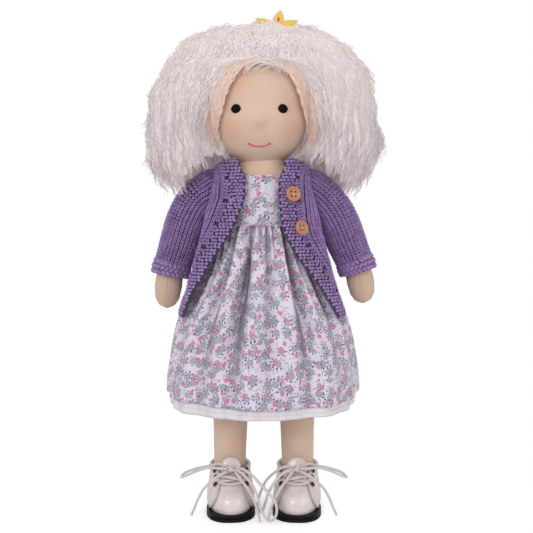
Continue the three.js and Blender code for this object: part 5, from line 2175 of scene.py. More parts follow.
@dataclass
class Wig:
    """The hair: a soft mass under many crimped strands, gathered in locks."""

    seed: int = 7
    locks: int = 62
    strands_per_lock: int = 8
    points: int = 52
    radius: float = 0.4
    crimp: float = 9.0
    skull: tuple[float, float] = (292, 366)
    tucked_below: float = 374

    def __post_init__(self) -> None:
        """Seeds the random draws."""
        self.draw = random.Random(self.seed)

    def lie(self, share: np.ndarray, along: np.ndarray, front: bool, side: int, out: np.ndarray) -> np.ndarray:
        """Points of the hair's surface.

        Args:
            share: from 0 at the parting or face to 1 at the side, or at the back from side to middle.
            along: how far down the hair's outline, from 0 at the crown to 1.
            front: whether it is the front half.
            side: 1 for the doll's left.
            out: how far outside the surface.

        Returns:
            The points, one a row.
        """
        run = (1 - np.asarray(along)) * HAIR_FORM.length
        z, a, b, centre, middle = (np.interp(run, HAIR_FORM.run, column) for column in HAIR_FORM.table.T)
        near_top = np.clip((HAIR_TOP - z) / 12, 0, 1)
        edge = np.clip(share if front else 1 - np.asarray(share), 0, 1) ** 2
        out = out + edge * near_top * (1.7 * np.sin(run / 10 + 2 * side) + 1.2 * np.sin(run / 4.7 + side))
        z = z + out * (1 - near_top)
        out = out * (0.3 + 0.7 * near_top)
        a, b = np.maximum(a + out, 0.01), np.maximum(b + out, 0.01)
        angle = math.pi / 2 * (1 + share)
        if front:
            opening = np.interp(z, *zip(*FACE_ARCH))
            first = np.arcsin(np.clip(opening / a, 0, 1) ** (HAIR_FORM.power / 2))
            angle = first + (math.pi / 2 - first) * share
        power = 2 / HAIR_FORM.power
        x = centre + side * a * np.sign(np.sin(angle)) * np.abs(np.sin(angle)) ** power
        y = middle - b * np.sign(np.cos(angle)) * np.abs(np.cos(angle)) ** power
        if front:
            skull = np.clip(z, *self.skull)
            wide = np.interp(skull, HEAD.table[:, 0], HEAD.table[:, 1]) + 3
            deep = np.interp(skull, HEAD.table[:, 0], HEAD.table[:, 2]) + 3.5
            rest = -deep * np.sqrt(np.maximum(0.02, 1 - ((x - HEAD_X) / wide) ** 2)) + 0.5 - out
            rest = np.maximum(rest, np.interp(z, (284, 300, 316), (-12, -20, -45)))
            away = np.clip((np.abs(x - centre) - opening) / 17, 0, 1)
            away = away * away * (3 - 2 * away)
            flat = np.interp(np.abs(x), *zip(*FLAT_FRONT)) - out
            low = np.clip((self.tucked_below - z) / 30, 0, 1)
            tucked = rest + (flat - rest) * away
            y = y + (np.maximum(y, tucked) - y) * low * low * (3 - 2 * low)
        return np.stack([x, y, z], axis=1)

    def bottom(self, share: float, front: bool) -> float:
        """How low the hair hangs: on the shoulders in front, and lower beside and behind them.

        Args:
            share: how far round the quarter, from the parting or the middle of the back.
            front: whether it is the front half.

        Returns:
            The height.
        """
        if not front:
            return blended(280, 256, eased(share, 0, 0.32))
        along = np.array([1 - HAIR_FORM.share_at(266)])
        x = abs(self.lie(np.array([share]), along, True, 1, np.zeros(1))[0, 0])
        return float(np.interp(x, *zip(*SHOULDERS)))

    def path(self, strand: Strand) -> np.ndarray:
        """The line of one strand, with its crimp.

        Args:
            strand: the strand.

        Returns:
            The line's points, one a row.
        """
        low = 1 - HAIR_FORM.share_at(strand.end_z)
        t = np.linspace(0, 1, self.points)
        along = strand.start + (low - strand.start) * t
        run = t * HAIR_FORM.length * (low - strand.start)
        loose = 0.35 + 0.65 * np.clip(t * 3, 0, 1)
        tip = np.clip((t - 0.7) / 0.3, 0, 1) ** 2
        turn = run / self.crimp * TURN * strand.wave + strand.phase
        wobble = np.sin(turn) + 0.35 * np.sin(1.7 * turn + 1)
        sway = np.sin(run / 27 * TURN * strand.wave + 2.3 * strand.phase)
        share = strand.share + (strand.swing * sway * 0.009 + wobble * 0.0048) * loose
        share = np.clip(share, -0.035, 1.03) - strand.inward * t**2
        out = strand.depth + 0.5 * np.sin(turn + 1.6) * loose + 0.8 * sway * strand.swing
        out = out + strand.flyaway * (tip * 5 + 2.4 * np.sin(run / 19 * TURN + strand.phase) * loose)
        return self.lie(share, along, strand.front, strand.side, out)

    def strands(self, front: bool, side: int, first: float, last: float, locks: int) -> list[Strand]:
        """Locks of strands between two shares of one quarter of the head.

        Args:
            front: whether it is the front half.
            side: 1 for the doll's left, -1 for its right.
            first: the first share.
            last: the last share.
            locks: how many locks there are.

        Returns:
            The strands.
        """
        found = []
        for k in range(locks):
            middle = blended(first, last, (k + self.draw.uniform(0.1, 0.9)) / locks)
            phase = self.draw.uniform(0, TURN)
            depth = self.draw.uniform(-1.0, 0.6)
            shorter = self.draw.uniform(-6, 9)
            start = self.draw.choice((0.0, 0.0, self.draw.uniform(0, 0.45)))
            swing = self.draw.uniform(-1, 1)
            outer = eased(middle if front else 1 - middle, 0.45, 0.9)
            for _ in range(self.strands_per_lock):
                found.append(
                    Strand(
                        share=min(max(middle + self.draw.gauss(0, 0.011), -0.02), 1),
                        front=front,
                        side=side,
                        start=max(0.0, start + self.draw.uniform(-0.05, 0.1)),
                        end_z=self.bottom(middle, front) + shorter + self.draw.uniform(-3, 5),
                        depth=depth + self.draw.uniform(-0.5, 0.4),
                        phase=phase + self.draw.gauss(0, 0.7),
                        wave=self.draw.uniform(0.8, 1.25),
                        swing=swing + self.draw.uniform(-0.4, 0.4),
                        flyaway=max(0.0, self.draw.gauss(-0.1, 0.6)) * outer,
                    )
                )
        return found

    def frizz(self) -> list[Strand]:
        """Short loose curls that stand off the hair, most of them along its outline.

        Returns:
            The strands.
        """
        found = []
        for side in (1, -1):
            for front in (True, False):
                for strand in self.strands(front, side, *((0.5, 1.0) if front else (0.0, 0.5)), 16):
                    start = self.draw.uniform(0.05, 0.82)
                    end = start + self.draw.uniform(0.06, 0.16)
                    low = float(np.interp((1 - end) * HAIR_FORM.length, HAIR_FORM.run, HAIR_FORM.table[:, 0]))
                    curl = self.draw.uniform(-4, 4)
                    depth = self.draw.uniform(0, 2.2)
                    loose = self.draw.uniform(0.2, 0.9)
                    found.append(replace(strand, start=start, end_z=low, depth=depth, swing=curl, flyaway=loose))
        return found

    def tress(
        self, name: str, strands: Sequence[Strand], finish: Finish, radius: float, points: int = 52
    ) -> bpy.types.Object:
        """Makes strands one piece of fine tubes that narrow to their tips.

        Args:
            name: the piece's name.
            strands: the strands.
            finish: its finish.
            radius: how thick they are.
            points: how many points each one has.

        Returns:
            The piece.
        """
        self.points = points
        curve = bpy.data.curves.new(name, "CURVE")
        curve.dimensions = "3D"
        curve.bevel_depth = radius * MM
        curve.bevel_resolution = 0
        curve.use_fill_caps = True
        widths = 1.0 - 0.7 * np.clip((np.linspace(0, 1, self.points) - 0.72) / 0.28, 0, 1)
        for strand in strands:
            spline = curve.splines.new("POLY")
            spline.points.add(self.points - 1)
            line = np.concatenate([self.path(strand) * MM, np.ones((self.points, 1))], axis=1)
            spline.points.foreach_set("co", line.astype(np.float32).ravel())
            spline.points.foreach_set("radius", (widths * self.draw.uniform(0.7, 1.3)).astype(np.float32))
        carrier = placed(f"{name}_lines", curve)
        mesh = settled(carrier)
        bpy.data.objects.remove(carrier)
        bpy.data.curves.remove(curve)
        mesh.name = name
        mesh.shade_smooth()
        return as_piece(name, mesh, finish)

    def mass(self, front: bool, side: int) -> bpy.types.Object:
        """The soft mass under the strands of one quarter, furrowed between its locks, in darker hair as painted shade.

        Args:
            front: whether it is the front half.
            side: 1 for the doll's left, -1 for its right.

        Returns:
            The piece.
        """

        def place(u: float, v: float) -> Vector:
            """A point of the mass.

            Args:
                u: the share of the way across.
                v: the share of the way along.

            Returns:
                The point.
            """
            ragged = 2.5 * math.sin(40 * u) + 2.5 * math.sin(93 * u)
            outer = eased(u if front else 1 - u, 0.5, 0.85)
            low = 1 - HAIR_FORM.share_at(self.bottom(u, front) + 3 + 0.4 * ragged + outer * (11 + ragged))
            drift = u + 0.012 * math.sin(24 * v + 9 * u)
            furrow = 0.35 * math.sin(62 * drift + 2 * math.sin(7 * drift)) + 0.25 * math.sin(147 * drift + side)
            ripple = 0.2 * math.sin(190 * v + 5 * math.sin(31 * u)) * math.sin(80 * u)
            depth = np.array([furrow + ripple - 1.3])
            return Vector(self.lie(np.array([u]), np.array([low * v]), front, side, depth)[0])

        name = f"hair_mass_{'front' if front else 'back'}_{'left' if side > 0 else 'right'}"
        # The mass wears the darker hair, as painted shade.
        piece = finished(sheet(110, 72, place), name, HAIR_UNDER_SHADED)
        return thickened(piece, 3.0, (0, HAIR_Y, 320))

    def beside_face(
        self,
        side: int,
        shares: tuple[float, float],
        locks: int,
        tops: tuple[float, float],
        lows: tuple[float, float],
        lift: float,
        swing: float = 1.0,
    ) -> list[Strand]:
        """Locks that hang beside the face.

        Args:
            side: 1 for the doll's left.
            shares: between which shares of the quarter they lie.
            locks: how many there are.
            tops: between which heights they start.
            lows: between which heights they end.
            lift: how far they lie over the rest.
            swing: how much more they swing.

        Returns:
            The strands.
        """
        found = []
        for strand in self.strands(True, side, *shares, locks):
            start = 1 - HAIR_FORM.share_at(self.draw.uniform(*tops))
            low = self.draw.uniform(*lows)
            found.append(replace(strand, start=start, end_z=low, depth=strand.depth + lift, swing=swing * strand.swing))
        return found

    def hold(self, piece: bpy.types.Object) -> bpy.types.Object:
        """Bakes a piece of the hair where it stands."""
        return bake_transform(piece)

    def build(self) -> None:
        """Builds the wig and the fine strands round the face."""
        made = {}
        for side, word in ((1, "left"), (-1, "right")):
            for front, half in ((True, "front"), (False, "back")):
                self.hold(self.mass(front, side))
                strands = self.strands(front, side, 0.0 if front else -0.02, 1.0, self.locks)
                for k, finish in enumerate((HAIR, HAIR_PALE)):
                    name = f"hair_{half}_{word}{'_pale' * k}"
                    made[name] = self.hold(self.tress(name, strands[k::2], finish, self.radius))
        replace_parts(made["hair_front_left"], "hair_crown", "locks_left", "wig_cap")
        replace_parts(made["hair_back_left"], "locks_back")
        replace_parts(made["hair_front_right"], "locks_right")
        peach = [s for side in (1, -1) for s in self.beside_face(side, (-0.02, 0.06), 8, (346, 358), (287, 322), 3.0)]
        self.hold(self.tress("hair_by_the_face", peach, PEACH, 0.38))
        fringe = []
        for side in (1, -1):
            for strand in self.strands(True, side, -0.02, 0.16, 18):
                low = self.draw.uniform(345, 359) - 40 * max(0.0, strand.share)
                start = self.draw.uniform(0.02, 0.2)
                lift = strand.depth + self.draw.uniform(0.5, 2.6)
                inward = self.draw.uniform(0.02, 0.13) * (strand.share < 0.07)
                swing = 2.6 * strand.swing
                fringe.append(replace(strand, start=start, end_z=low, depth=lift, swing=swing, inward=inward))
            fringe += self.beside_face(side, (0.04, 0.13), 4, (350, 366), (296, 335), 2.6, 2.0)
        self.hold(self.tress("hair_over_the_forehead", fringe, HAIR_PALE, 0.5, 40))
        self.hold(self.tress("hair_frizz", self.frizz(), HAIR, 0.34, 26))


@dataclass
class HairClip:
    """Three felt petals on a sprung clip."""

    foot: tuple[float, float, float] = (11.8, -1.0, 389.9)
    lengths: tuple[float, ...] = (19.8, 15.8, 19.8)
    widths: tuple[float, ...] = (8.6, 10.6, 8.6)
    angles: tuple[float, ...] = (-66.0, 14.0, 72.0)

    def petal(self, index: int) -> bpy.types.Object:
        """One petal, a little cupped and padded.

        Args:
            index: which petal it is.

        Returns:
            The piece.
        """
        turn = math.radians(self.angles[index])
        x0, y0, z0 = self.foot

        def outline(u: float, v: float, puff: float) -> Vector:
            """A point of the petal's face or back.

            Args:
                u: the share of the way across.
                v: the share of the way along.
                puff: 1 for the face, -1 for the back.

            Returns:
                The point.
            """
            half = self.widths[index] / 2 * math.sin(math.pi * min(1, v * 0.93 + 0.07) ** 0.9) * (1 - 0.12 * v)
            across = (2 * u - 1) * half
            along = v * self.lengths[index]
            thick = puff * 0.75 * math.sqrt(max(0.0, 1 - (2 * u - 1) ** 2)) * math.sqrt(max(0, math.sin(math.pi * v)))
            x = across * math.cos(turn) + along * math.sin(turn)
            z = along * math.cos(turn) - across * math.sin(turn)
            return Vector((x0 + x, y0 - 0.6 - thick - 0.8 * v * v, z0 + z))

        made = two_faced(16, 24, outline)
        name = f"clip_petal_{('left', 'middle', 'right')[index]}"
        piece = finished(made, name, MAGENTA_PETAL if index == 1 else YELLOW_PETAL)
        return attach(piece, "hair_clip")

    def build(self) -> None:
        """Builds the petals and dresses the clip's steel."""
        petals = [self.petal(i) for i in range(len(self.angles))]
        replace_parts(petals[1], "clip_flower")
        for node in ("clip_base", "clip_tongue"):
            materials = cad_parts[node].data.materials
            materials.clear()
            materials.append(STEEL.material())


# Buttons


@dataclass
class Buttons:
    """Two turned wooden buttons with four holes, sewn on with a cross of thread, and the buttonholes."""

    hole_radius: float = 0.95
    hole_spacing: float = 3.3
    profile: tuple[tuple[float, float], ...] = (
        (0, 0), (5.0, 0), (5.9, 0.35), (6.2, 1.2), (6.1, 2.1), (5.6, 2.85), (5.1, 2.95), (4.6, 2.7), (4.1, 1.95),
        (3.4, 1.7), (0, 1.65),
    )
    places: tuple[tuple[str, float, float], ...] = (("upper", 23.3, 252.6), ("lower", 29.2, 226.1))
    holes_at: tuple[tuple[float, float], ...] = ((22.5, 251.0), (36.0, 224.0))

    def seat(self, x: float, z: float, out: float) -> Matrix:
        """The frame of a button, whose own Z axis points out of the knitting."""
        facing = CARDIGAN.facing(x, z)
        return seat_on(CARDIGAN.front(x, z) + facing * out, facing)

    @property
    def corners(self) -> list[tuple[float, float]]:
        """Where the four holes are."""
        reach = self.hole_spacing / 2
        return [(i * reach, j * reach) for i in (-1, 1) for j in (-1, 1)]

    def wood(self, word: str, seat: Matrix) -> bpy.types.Object:
        """One turned button, bored with its holes.

        Args:
            word: upper or lower.
            seat: its frame.

        Returns:
            The piece.
        """
        made = bmesh.new()
        verts = [made.verts.new((r, 0, h)) for r, h in self.profile]
        turned(made, verts + [made.edges.new(pair) for pair in zip(verts, verts[1:])], 56)
        bmesh.ops.transform(made, matrix=seat, verts=made.verts)
        wood = finished(made, f"wooden_button_{word}", WOOD)
        cutter = bmesh.new()
        for i, j in self.corners:
            rod(cutter, self.hole_radius, 8, seat @ Matrix.Translation((i, j, 1.5)), 14)
        holes = finished(cutter, f"holes_{word}", WOOD, smooth=False)
        bored = wood.modifiers.new("holes", "BOOLEAN")
        bored.operation = "DIFFERENCE"
        bored.solver = "EXACT"
        bored.object = holes
        mesh = settled(wood)
        wood.modifiers.clear()
        wood.data = mesh
        bpy.data.objects.remove(holes)
        mesh.set_sharp_from_angle(angle=math.radians(50))
        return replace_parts(wood, f"button_{word}")

    def thread(self, word: str, seat: Matrix) -> bpy.types.Object:
        """The thread through one button: a cross on top, and a stitch down each hole.

        Args:
            word: upper or lower.
            seat: the button's frame.

        Returns:
            The piece.
        """
        turn = seat.to_3x3()
        across, out = turn @ Vector((1, 0, 0)), turn @ Vector((0, 0, 1))
        sewn = Gathered()
        for i in (-1, 1):
            along = Vector((1, i, 0)).normalized()
            for side in (-1, 1):
                centre = Vector((0, 0, 1.95)) + Vector((-along.y, along.x, 0)) * (side * 0.2)
                sewn.drop(seat @ centre, turn @ along, out, (self.hole_spacing / 2 * 1.3, 0.15, 0.2), 8)
        for i, j in self.corners:
            sewn.drop(seat @ Vector((i * 0.8, j * 0.8, 0.3)), out, across, (0.9, 0.3, 0.3), 8)
        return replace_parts(sewn.piece(f"sewing_thread_{word}", CREAM_THREAD), f"button_thread_{word}")

    def button(self, word: str, x: float, z: float) -> None:
        """One button and its thread.

        Args:
            word: upper or lower.
            x: how far it is to the doll's left.
            z: its height.
        """
        seat = self.seat(x, z, 1.5)
        for part in (self.wood(word, seat), self.thread(word, seat)):
            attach(part, "torso")

    def buttonhole(self, index: int) -> None:
        """One buttonhole: a dark slot, painted shade for its opening, between two rolls of yarn.

        Args:
            index: which buttonhole it is.
        """
        x, z = self.holes_at[index]
        seat = self.seat(-x, z, 0.2)
        out, along = seat.to_3x3() @ Vector((0, 0, 1)), seat.to_3x3() @ Vector((1, 0.25, 0))
        made, slot = Gathered(), Gathered()
        for side in (-1, 1):
            made.drop(seat @ Vector((0, side * 1.9, 0.3)), along, out, (4.4, 0.85, 0.9), 8)
        rolls = made.piece(f"buttonhole_rolls_{index + 1}", WOOL)
        # The dark slot is painted shade for the buttonhole's opening.
        slot.drop(seat @ Vector((0, 0, 0.15)), along, out, (3.4, 1.1, 0.5), 8)
        dark = slot.piece(f"buttonhole_slot_{index + 1}", PAINTED_HOLE_SHADE)
        for part in (rolls, dark):
            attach(part, "torso")

    def build(self) -> None:
        """Builds the buttons and buttonholes."""
        for word, x, z in self.places:
            self.button(word, x, z)
        for index in range(len(self.holes_at)):
            self.buttonhole(index)


# Legs and shoes

SHOE = Form(
    [
        (5.2, 17.6, 30.6, 0, -8.4), (7.5, 18.2, 31.2, 0, -8.3), (11.4, 18.4, 31.1, 0, -8.1),
        (15.5, 18.1, 30.4, 0, -7.4), (19.5, 17.4, 28.4, 0, -5.8), (23, 16.7, 25.8, 0, -3.6),
        (26, 16.2, 23.6, 0, -1.6), (29.5, 15.9, 21.2, 0, 0.4), (33.4, 15.9, 19.3, 0, 2),
        (36, 16.1, 18.6, 0, 2.6),
    ],
    2.15,
)
LACE_RADIUS = 1.05
LACE_ROUTES = {
    "loop_outer": (
        (3.1, -29.6, 38), (10, -29.4, 38.6), (19, -25.5, 37.8), (29, -22.5, 34), (36, -21, 30.6),
        (39.5, -17, 28.6), (36.5, -13, 30.6), (28, -15.5, 34.4), (18, -20.5, 37.8), (9.5, -25, 40.8),
        (2.7, -27.3, 39),
    ),
    "tail_outer": (
        (2.7, -28.6, 35.9), (9, -31.3, 34), (15.5, -31, 29.5), (21.5, -29.5, 23), (26, -27.5, 14.5),
        (29.2, -26.5, 6.5), (31.5, -26, 1.3),
    ),
    "loop_inner": (
        (-3.1, -29.6, 38), (-9.5, -33.3, 34.5), (-16, -37.5, 27.5), (-20, -41, 19), (-22.5, -44, 10.5),
        (-26.5, -46.5, 4.2), (-31, -47.5, 3.6), (-34, -47, 9.5), (-33, -45.5, 17), (-28.5, -43, 22.5),
        (-22, -39.5, 28.8), (-13, -33.4, 36.4), (-3.2, -27.6, 39.2),
    ),
    "tail_inner": (
        (-2.7, -28.6, 35.9), (-8, -32.6, 29.5), (-13.5, -37, 23), (-17.5, -40, 15.5), (-20, -42.5, 8),
        (-21.5, -43.5, 1.4),
    ),
}
LEFT_LOOP_INNER = (
    (-3.1, -29.6, 38), (-9.5, -31.6, 35.5), (-16.5, -33.5, 29), (-21.5, -34.5, 20.5), (-24.5, -35, 11.5),
    (-27, -34, 5.4), (-30, -31, 6), (-30, -28.5, 12.5), (-27.5, -27.5, 20.5), (-23, -27, 28.5), (-16, -27, 35),
    (-9.5, -27.5, 38.8), (-2.7, -27.3, 39),
)


@dataclass
class Leg:
    """One leg and its laced shoe."""

    word: str
    hip_offset: float = 1.5
    hip_spacing: float = 55.0
    toe_in: float = 4.0
    throat: float = 8.0
    throat_foot: float = 25.5
    throat_lean: float = 0.125
    toe_spread: float = 8.6
    toe_drop: float = 20.3
    collar: float = 32.6
    flap_rise: float = 2.2
    heel_rise: float = 2.0
    corner_drop: float = 2.2
    lace_rows: int = 3
    wall: float = 1.4
    proud: float = 0.75

    def __post_init__(self) -> None:
        """Finds the leg's place, mirrored for the right."""
        self.side = SIDES[self.word]
        self.body = f"leg_{self.word}"
        self.x = self.hip_offset + self.side * self.hip_spacing / 2
        turn = Matrix.Rotation(math.radians(-self.toe_in), 4, "Z")
        self.stand = Matrix.Translation((self.x, 0, 0)) @ Matrix.Diagonal((self.side, 1, 1, 1)) @ turn

    def shod(self, made: bmesh.types.BMesh, name: str, finish: Finish) -> bpy.types.Object:
        """Moves a mesh of the shoe's own frame to its place and makes it a piece.

        Args:
            made: the mesh, which is used up.
            name: the piece's name.
            finish: its finish.

        Returns:
            The piece.
        """
        bmesh.ops.transform(made, matrix=self.stand, verts=made.verts)
        piece = finished(made, f"{name}_{self.word}", finish)
        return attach(piece, self.body)

    def leg(self) -> None:
        """The stuffed leg, which ends in a foot inside the shoe."""
        form = Form(
            [
                (7, 0, 0, 0, -7), (7.4, 10, 17, 0, -7), (10, 13, 22, 0, -8), (15, 13.2, 22, 0, -8),
                (21, 12.8, 18, 0, -5), (28, 12.8, 13.6, 0, -1), (36, 13, 13), (60, 13.6, 13.6),
                (85, 14.5, 14.5), (120, 14.8, 14.8), (158, 15, 15), (166, 12.4, 12.4), (171.6, 6, 6),
                (173, 0, 0),
            ]
        )

        def place(u: float, v: float) -> Vector:
            """A point of the leg, a little soft.

            Args:
                u: the share of the way across.
                v: the share of the way along.

            Returns:
                The point.
            """
            point = form.point(v, (u - 0.5) * TURN)
            swell = 0.25 * math.sin(point.z / 17) * math.sin(3 * u * TURN)
            away = Vector((point.x, point.y, 0))
            return point + (away.normalized() * swell if away.length > 1 else away)

        made = sheet(44, 84, place)
        bmesh.ops.transform(made, matrix=self.stand, verts=made.verts)
        piece = finished(made, f"{self.body}_jersey", JERSEY)
        stuffed(piece, self.body, (f"{self.body}_skin", f"{self.body}_stuffing"))
        seam = Gathered()
        for i in range(60):
            z = 40 + i * 1.9
            centre = form.around(form.level(z), math.pi, 0.02)
            seam.drop(self.stand @ centre, Vector((0, 0, 1)), Vector((0, 1, 0)), (0.85, 0.2, 0.22))
        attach(seam.piece(f"{self.body}_seam", SEAM_THREAD), self.body)

    def sole(self) -> None:
        """The rubber sole, with its welt groove and rounded edges."""
        half = (
            (0, -41.2), (8.5, -40), (15.6, -34), (19, -24), (19.2, -14),
            (17.2, -3), (16.3, 8), (14.8, 17.5), (9.5, 23.6), (0, 25.2),
        )
        outline = [(x, y, 0) for x, y in half] + [(-x, y, 0) for x, y in half[-2:0:-1]]
        made = bmesh.new()
        ring = [made.verts.new(p) for p in Route(outline, closed=True).points(97)[:-1]]
        face = made.faces.new(ring)
        made.faces.new([made.verts.new(v.co) for v in reversed(ring)])
        bmesh.ops.inset_region(made, faces=[face], thickness=0.5, use_boundary=True, use_even_offset=True)
        for rise, grow in ((0.6, 0.0), (1.7, -0.1), (0.35, -0.55), (0.35, 0.5), (1.5, 0.05), (0.5, -0.5)):
            face = bmesh.ops.extrude_discrete_faces(made, faces=[face])["faces"][0]
            centre = face.calc_center_median()
            for vert in face.verts:
                away = Vector((vert.co.x - centre.x, vert.co.y - centre.y, 0))
                vert.co += away.normalized() * grow
                vert.co.z += rise
        piece = self.shod(made, "rubber_sole", RUBBER)
        piece.data.set_sharp_from_angle(angle=math.radians(40))
        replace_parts(piece, f"shoe_sole_{self.word}")

    def edge_x(self, z: float) -> float:
        """How far to the side the quarter's front edge lies at a height.

        Args:
            z: its height.

        Returns:
            The distance.
        """
        if z >= self.throat_foot:
            return self.throat + self.throat_lean * (z - self.throat_foot)
        return self.throat + self.toe_spread * ((self.throat_foot - z) / self.toe_drop) ** 1.15

    def vamp(self) -> None:
        """The rounded toe."""

        def place(u: float, v: float) -> Vector:
            """A point of the toe, which runs in under the quarters and the tongue.

            Args:
                u: the share of the way across.
                v: the share of the way along.

            Returns:
                The point.
            """
            angle = (u - 0.5) * math.radians(236)
            z = blended(4.6, 27.5, v)
            return SHOE.around(SHOE.level(z), angle, -0.15)

        made = sheet(64, 30, place)
        piece = self.shod(made, "toe_vamp", PATENT)
        thickened(piece, self.wall, (self.x, -12, 8))
        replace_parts(piece, f"shoe_vamp_{self.word}")

    def quarter_point(self, u: float, z: float, out: float) -> Vector:
        """A point of the quarter, from one front edge round the heel to the other."""
        first = abs(SHOE.angle_of(z, self.edge_x(z)))
        return SHOE.around(SHOE.level(z), blended(first, TURN - first, u), out)

    def top(self, u: float) -> float:
        """How high the quarter reaches: flaps in front, a dip at the ankle and a raised heel.

        Args:
            u: the share of the way round the quarter.

        Returns:
            The height.
        """
        flap = math.exp(-(((min(u, 1 - u) - 0.07) / 0.09) ** 2))
        heel = math.exp(-(((u - 0.5) / 0.1) ** 2))
        corner = eased(min(u, 1 - u), 0, 0.035)
        return self.collar + self.flap_rise * flap + self.heel_rise * heel - self.corner_drop * (1 - corner)

    def quarter(self) -> None:
        """The quarters with their stitched edge."""

        def place(u: float, v: float) -> Vector:
            """A point of the quarter, whose edge stands proud of the toe."""
            return self.quarter_point(u, blended(4.8, self.top(u), v), self.proud)

        made = sheet(96, 26, place)
        piece = self.shod(made, "quarter_leather", PATENT)
        thickened(piece, self.wall, (self.x, 0, 15))
        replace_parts(piece, f"shoe_quarter_{self.word}")
        line = [place(0, v / 40) for v in range(41)]
        line += [place(u / 120, 1) for u in range(121)]
        line += [place(1, 1 - v / 40) for v in range(41)]
        # The rolled edge wears the darker patent, as painted shade.
        self.shod(tube(line, 0.62, 8), "quarter_edge", SHADED_PATENT_EDGE)
        stitches = Gathered()
        inner = [place(0.022, v / 60) for v in range(2, 58)] + [place(0.02 + 0.96 * u / 150, 0.93) for u in range(151)]
        inner += [place(0.978, v / 60) for v in range(57, 1, -1)]
        route = Route(inner, steps=2)
        count = int(route.length / 1.55)
        for i in range(count):
            share = (i + 0.5) / count
            here, along = route.at(share), route.along(share)
            facing = Vector((here.x, here.y + 5, 0)).normalized()
            stitches.drop(here + facing * 0.1, along, facing, (0.52, 0.17, 0.17))
        stitches.end_row()
        bmesh.ops.transform(stitches.whole, matrix=self.stand, verts=stitches.whole.verts)
        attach(stitches.piece(f"quarter_stitches_{self.word}", SHOE_THREAD), self.body)
        self.eyelets()

    def lace_row(self, row: int) -> tuple[float, float, float]:
        """Where the lace passes a row of eyelets."""
        t = row / (self.lace_rows - 1)
        return (self.throat + 2, blended(-26.5, -19.5, t), blended(26.4, 34.5, t))

    def eyelets(self) -> None:
        """Bronze rings round dark discs that stand for the holes as painted shade, in rows beside the throat."""
        rings, holes = bmesh.new(), bmesh.new()
        for row in range(self.lace_rows):
            z = self.lace_row(row)[2] - 2.6
            for side in (-1, 1):
                x = side * (self.edge_x(z) + 3.4)
                facing = SHOE.facing(x, z)
                seat = seat_on(SHOE.front(x, z, self.proud) + facing * 0.15, facing)
                ring = bmesh.new()
                wire = bmesh.ops.create_circle(ring, segments=8, radius=0.5)["verts"]
                upright = Matrix.Translation((1.75, 0, 0)) @ Matrix.Rotation(math.pi / 2, 4, "X")
                bmesh.ops.transform(ring, matrix=upright, verts=ring.verts)
                turned(ring, wire + list(ring.edges), 20)
                bmesh.ops.transform(ring, matrix=seat, verts=ring.verts)
                poured(ring, rings)
                # The dark disc in each eyelet is painted shade for its hole.
                rod(holes, 1.5, 0.3, seat @ Matrix.Translation((0, 0, 0.1)))
        self.shod(rings, "eyelet_rings", BRONZE)
        self.shod(holes, "eyelet_holes", PAINTED_HOLE_SHADE)

    def tongue(self) -> None:
        """The padded tongue, with a rounded top that leans on the shin."""
        foot, top, half = Vector((0, -24.5, 23.4)), Vector((0, -15.2, 43.2)), 8.0
        run = (top - foot).length
        lean = (top - foot).normalized()
        out = Vector((0, lean.z, -lean.y)) * -1

        def place(u: float, v: float, puff: float) -> Vector:
            """A point of the tongue's face or back.

            Args:
                u: the share of the way across.
                v: the share of the way along.
                puff: 1 for the face, -1 for the back.

            Returns:
                The point.
            """
            along = v * run
            cap = max(0.0, (along - (run - half)) / half)
            wide = half * math.sqrt(max(0.0, 1 - cap**2.4)) if cap else half
            across = (2 * u - 1) * wide
            bow = 1.3 * (1 - (2 * u - 1) ** 2)
            edge = math.sqrt(max(0.0, 1 - (2 * u - 1) ** 4)) * (1 if cap == 0 else math.sqrt(max(0.0, 1 - cap**6)))
            return foot + lean * along + Vector((across, 0, 0)) + out * (bow * 0.8 + puff * 0.75 * edge)

        piece = self.shod(two_faced(22, 36, place), "tongue_leather", PATENT)
        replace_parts(piece, f"shoe_tongue_{self.word}")

    def crossing(self, row: int, lift: float) -> tuple[float, float, float]:
        """Where two strands cross between rows, lifted off the tongue."""
        low, high = self.lace_row(row), self.lace_row(row + 1)
        return (0, (low[1] + high[1]) / 2 - 2 - lift, (low[2] + high[2]) / 2 + lift)

    def lacing(self) -> None:
        """The lace that is threaded through the eyelets, and the knot on it."""
        lift, rise = 1.1, LACE_RADIUS + 0.35
        points = []
        last = self.lace_rows - 1

        def at(row: int, side: int) -> None:
            """Adds the lace's place at an eyelet."""
            x, y, z = self.lace_row(row)
            points.append((side * x, y - lift, z + lift))

        for row in range(last, 0, -1):
            at(row, 1 if row % 2 else -1)
            points.append(self.crossing(row - 1, 1.2 + rise))
        at(0, -1)
        points.append((0, self.lace_row(0)[1] - 2.1, self.lace_row(0)[2] - 1))
        at(0, 1)
        for row in range(1, self.lace_rows):
            points.append(self.crossing(row - 1, 1.2 - rise))
            at(row, -1 if row % 2 else 1)
        route = Route(points)
        piece = self.shod(tube(route.points(110), LACE_RADIUS, 8, 0.8), "threaded_lace", BRAID)
        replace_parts(piece, f"lacing_{self.word}")
        knot_rise = 1.2 + rise + (LACE_RADIUS + 0.4 + 0.95 * 2.6) / math.sqrt(2)
        centre = Vector(self.crossing(last - 1, knot_rise))
        turns = (
            (2.7, 0.2, 1.1), (0.9, -1.5, 1.2), (-1.3, -1.9, -0.4), (-2.6, -0.1, -1.0), (-1.2, 1.2, 0.6),
            (0.6, -0.2, 1.7), (0.9, -2.0, -0.5), (0.2, -0.4, -1.8), (-0.9, 1.0, 0.0), (1.4, 1.1, -0.7),
            (2.9, -0.4, -1.0),
        )
        wrap = Route([centre + Vector(step) for step in turns])
        knot = self.shod(tube(wrap.points(90), 1.0, 8), "bow_knot", BRAID)
        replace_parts(knot, f"knot_{self.word}")

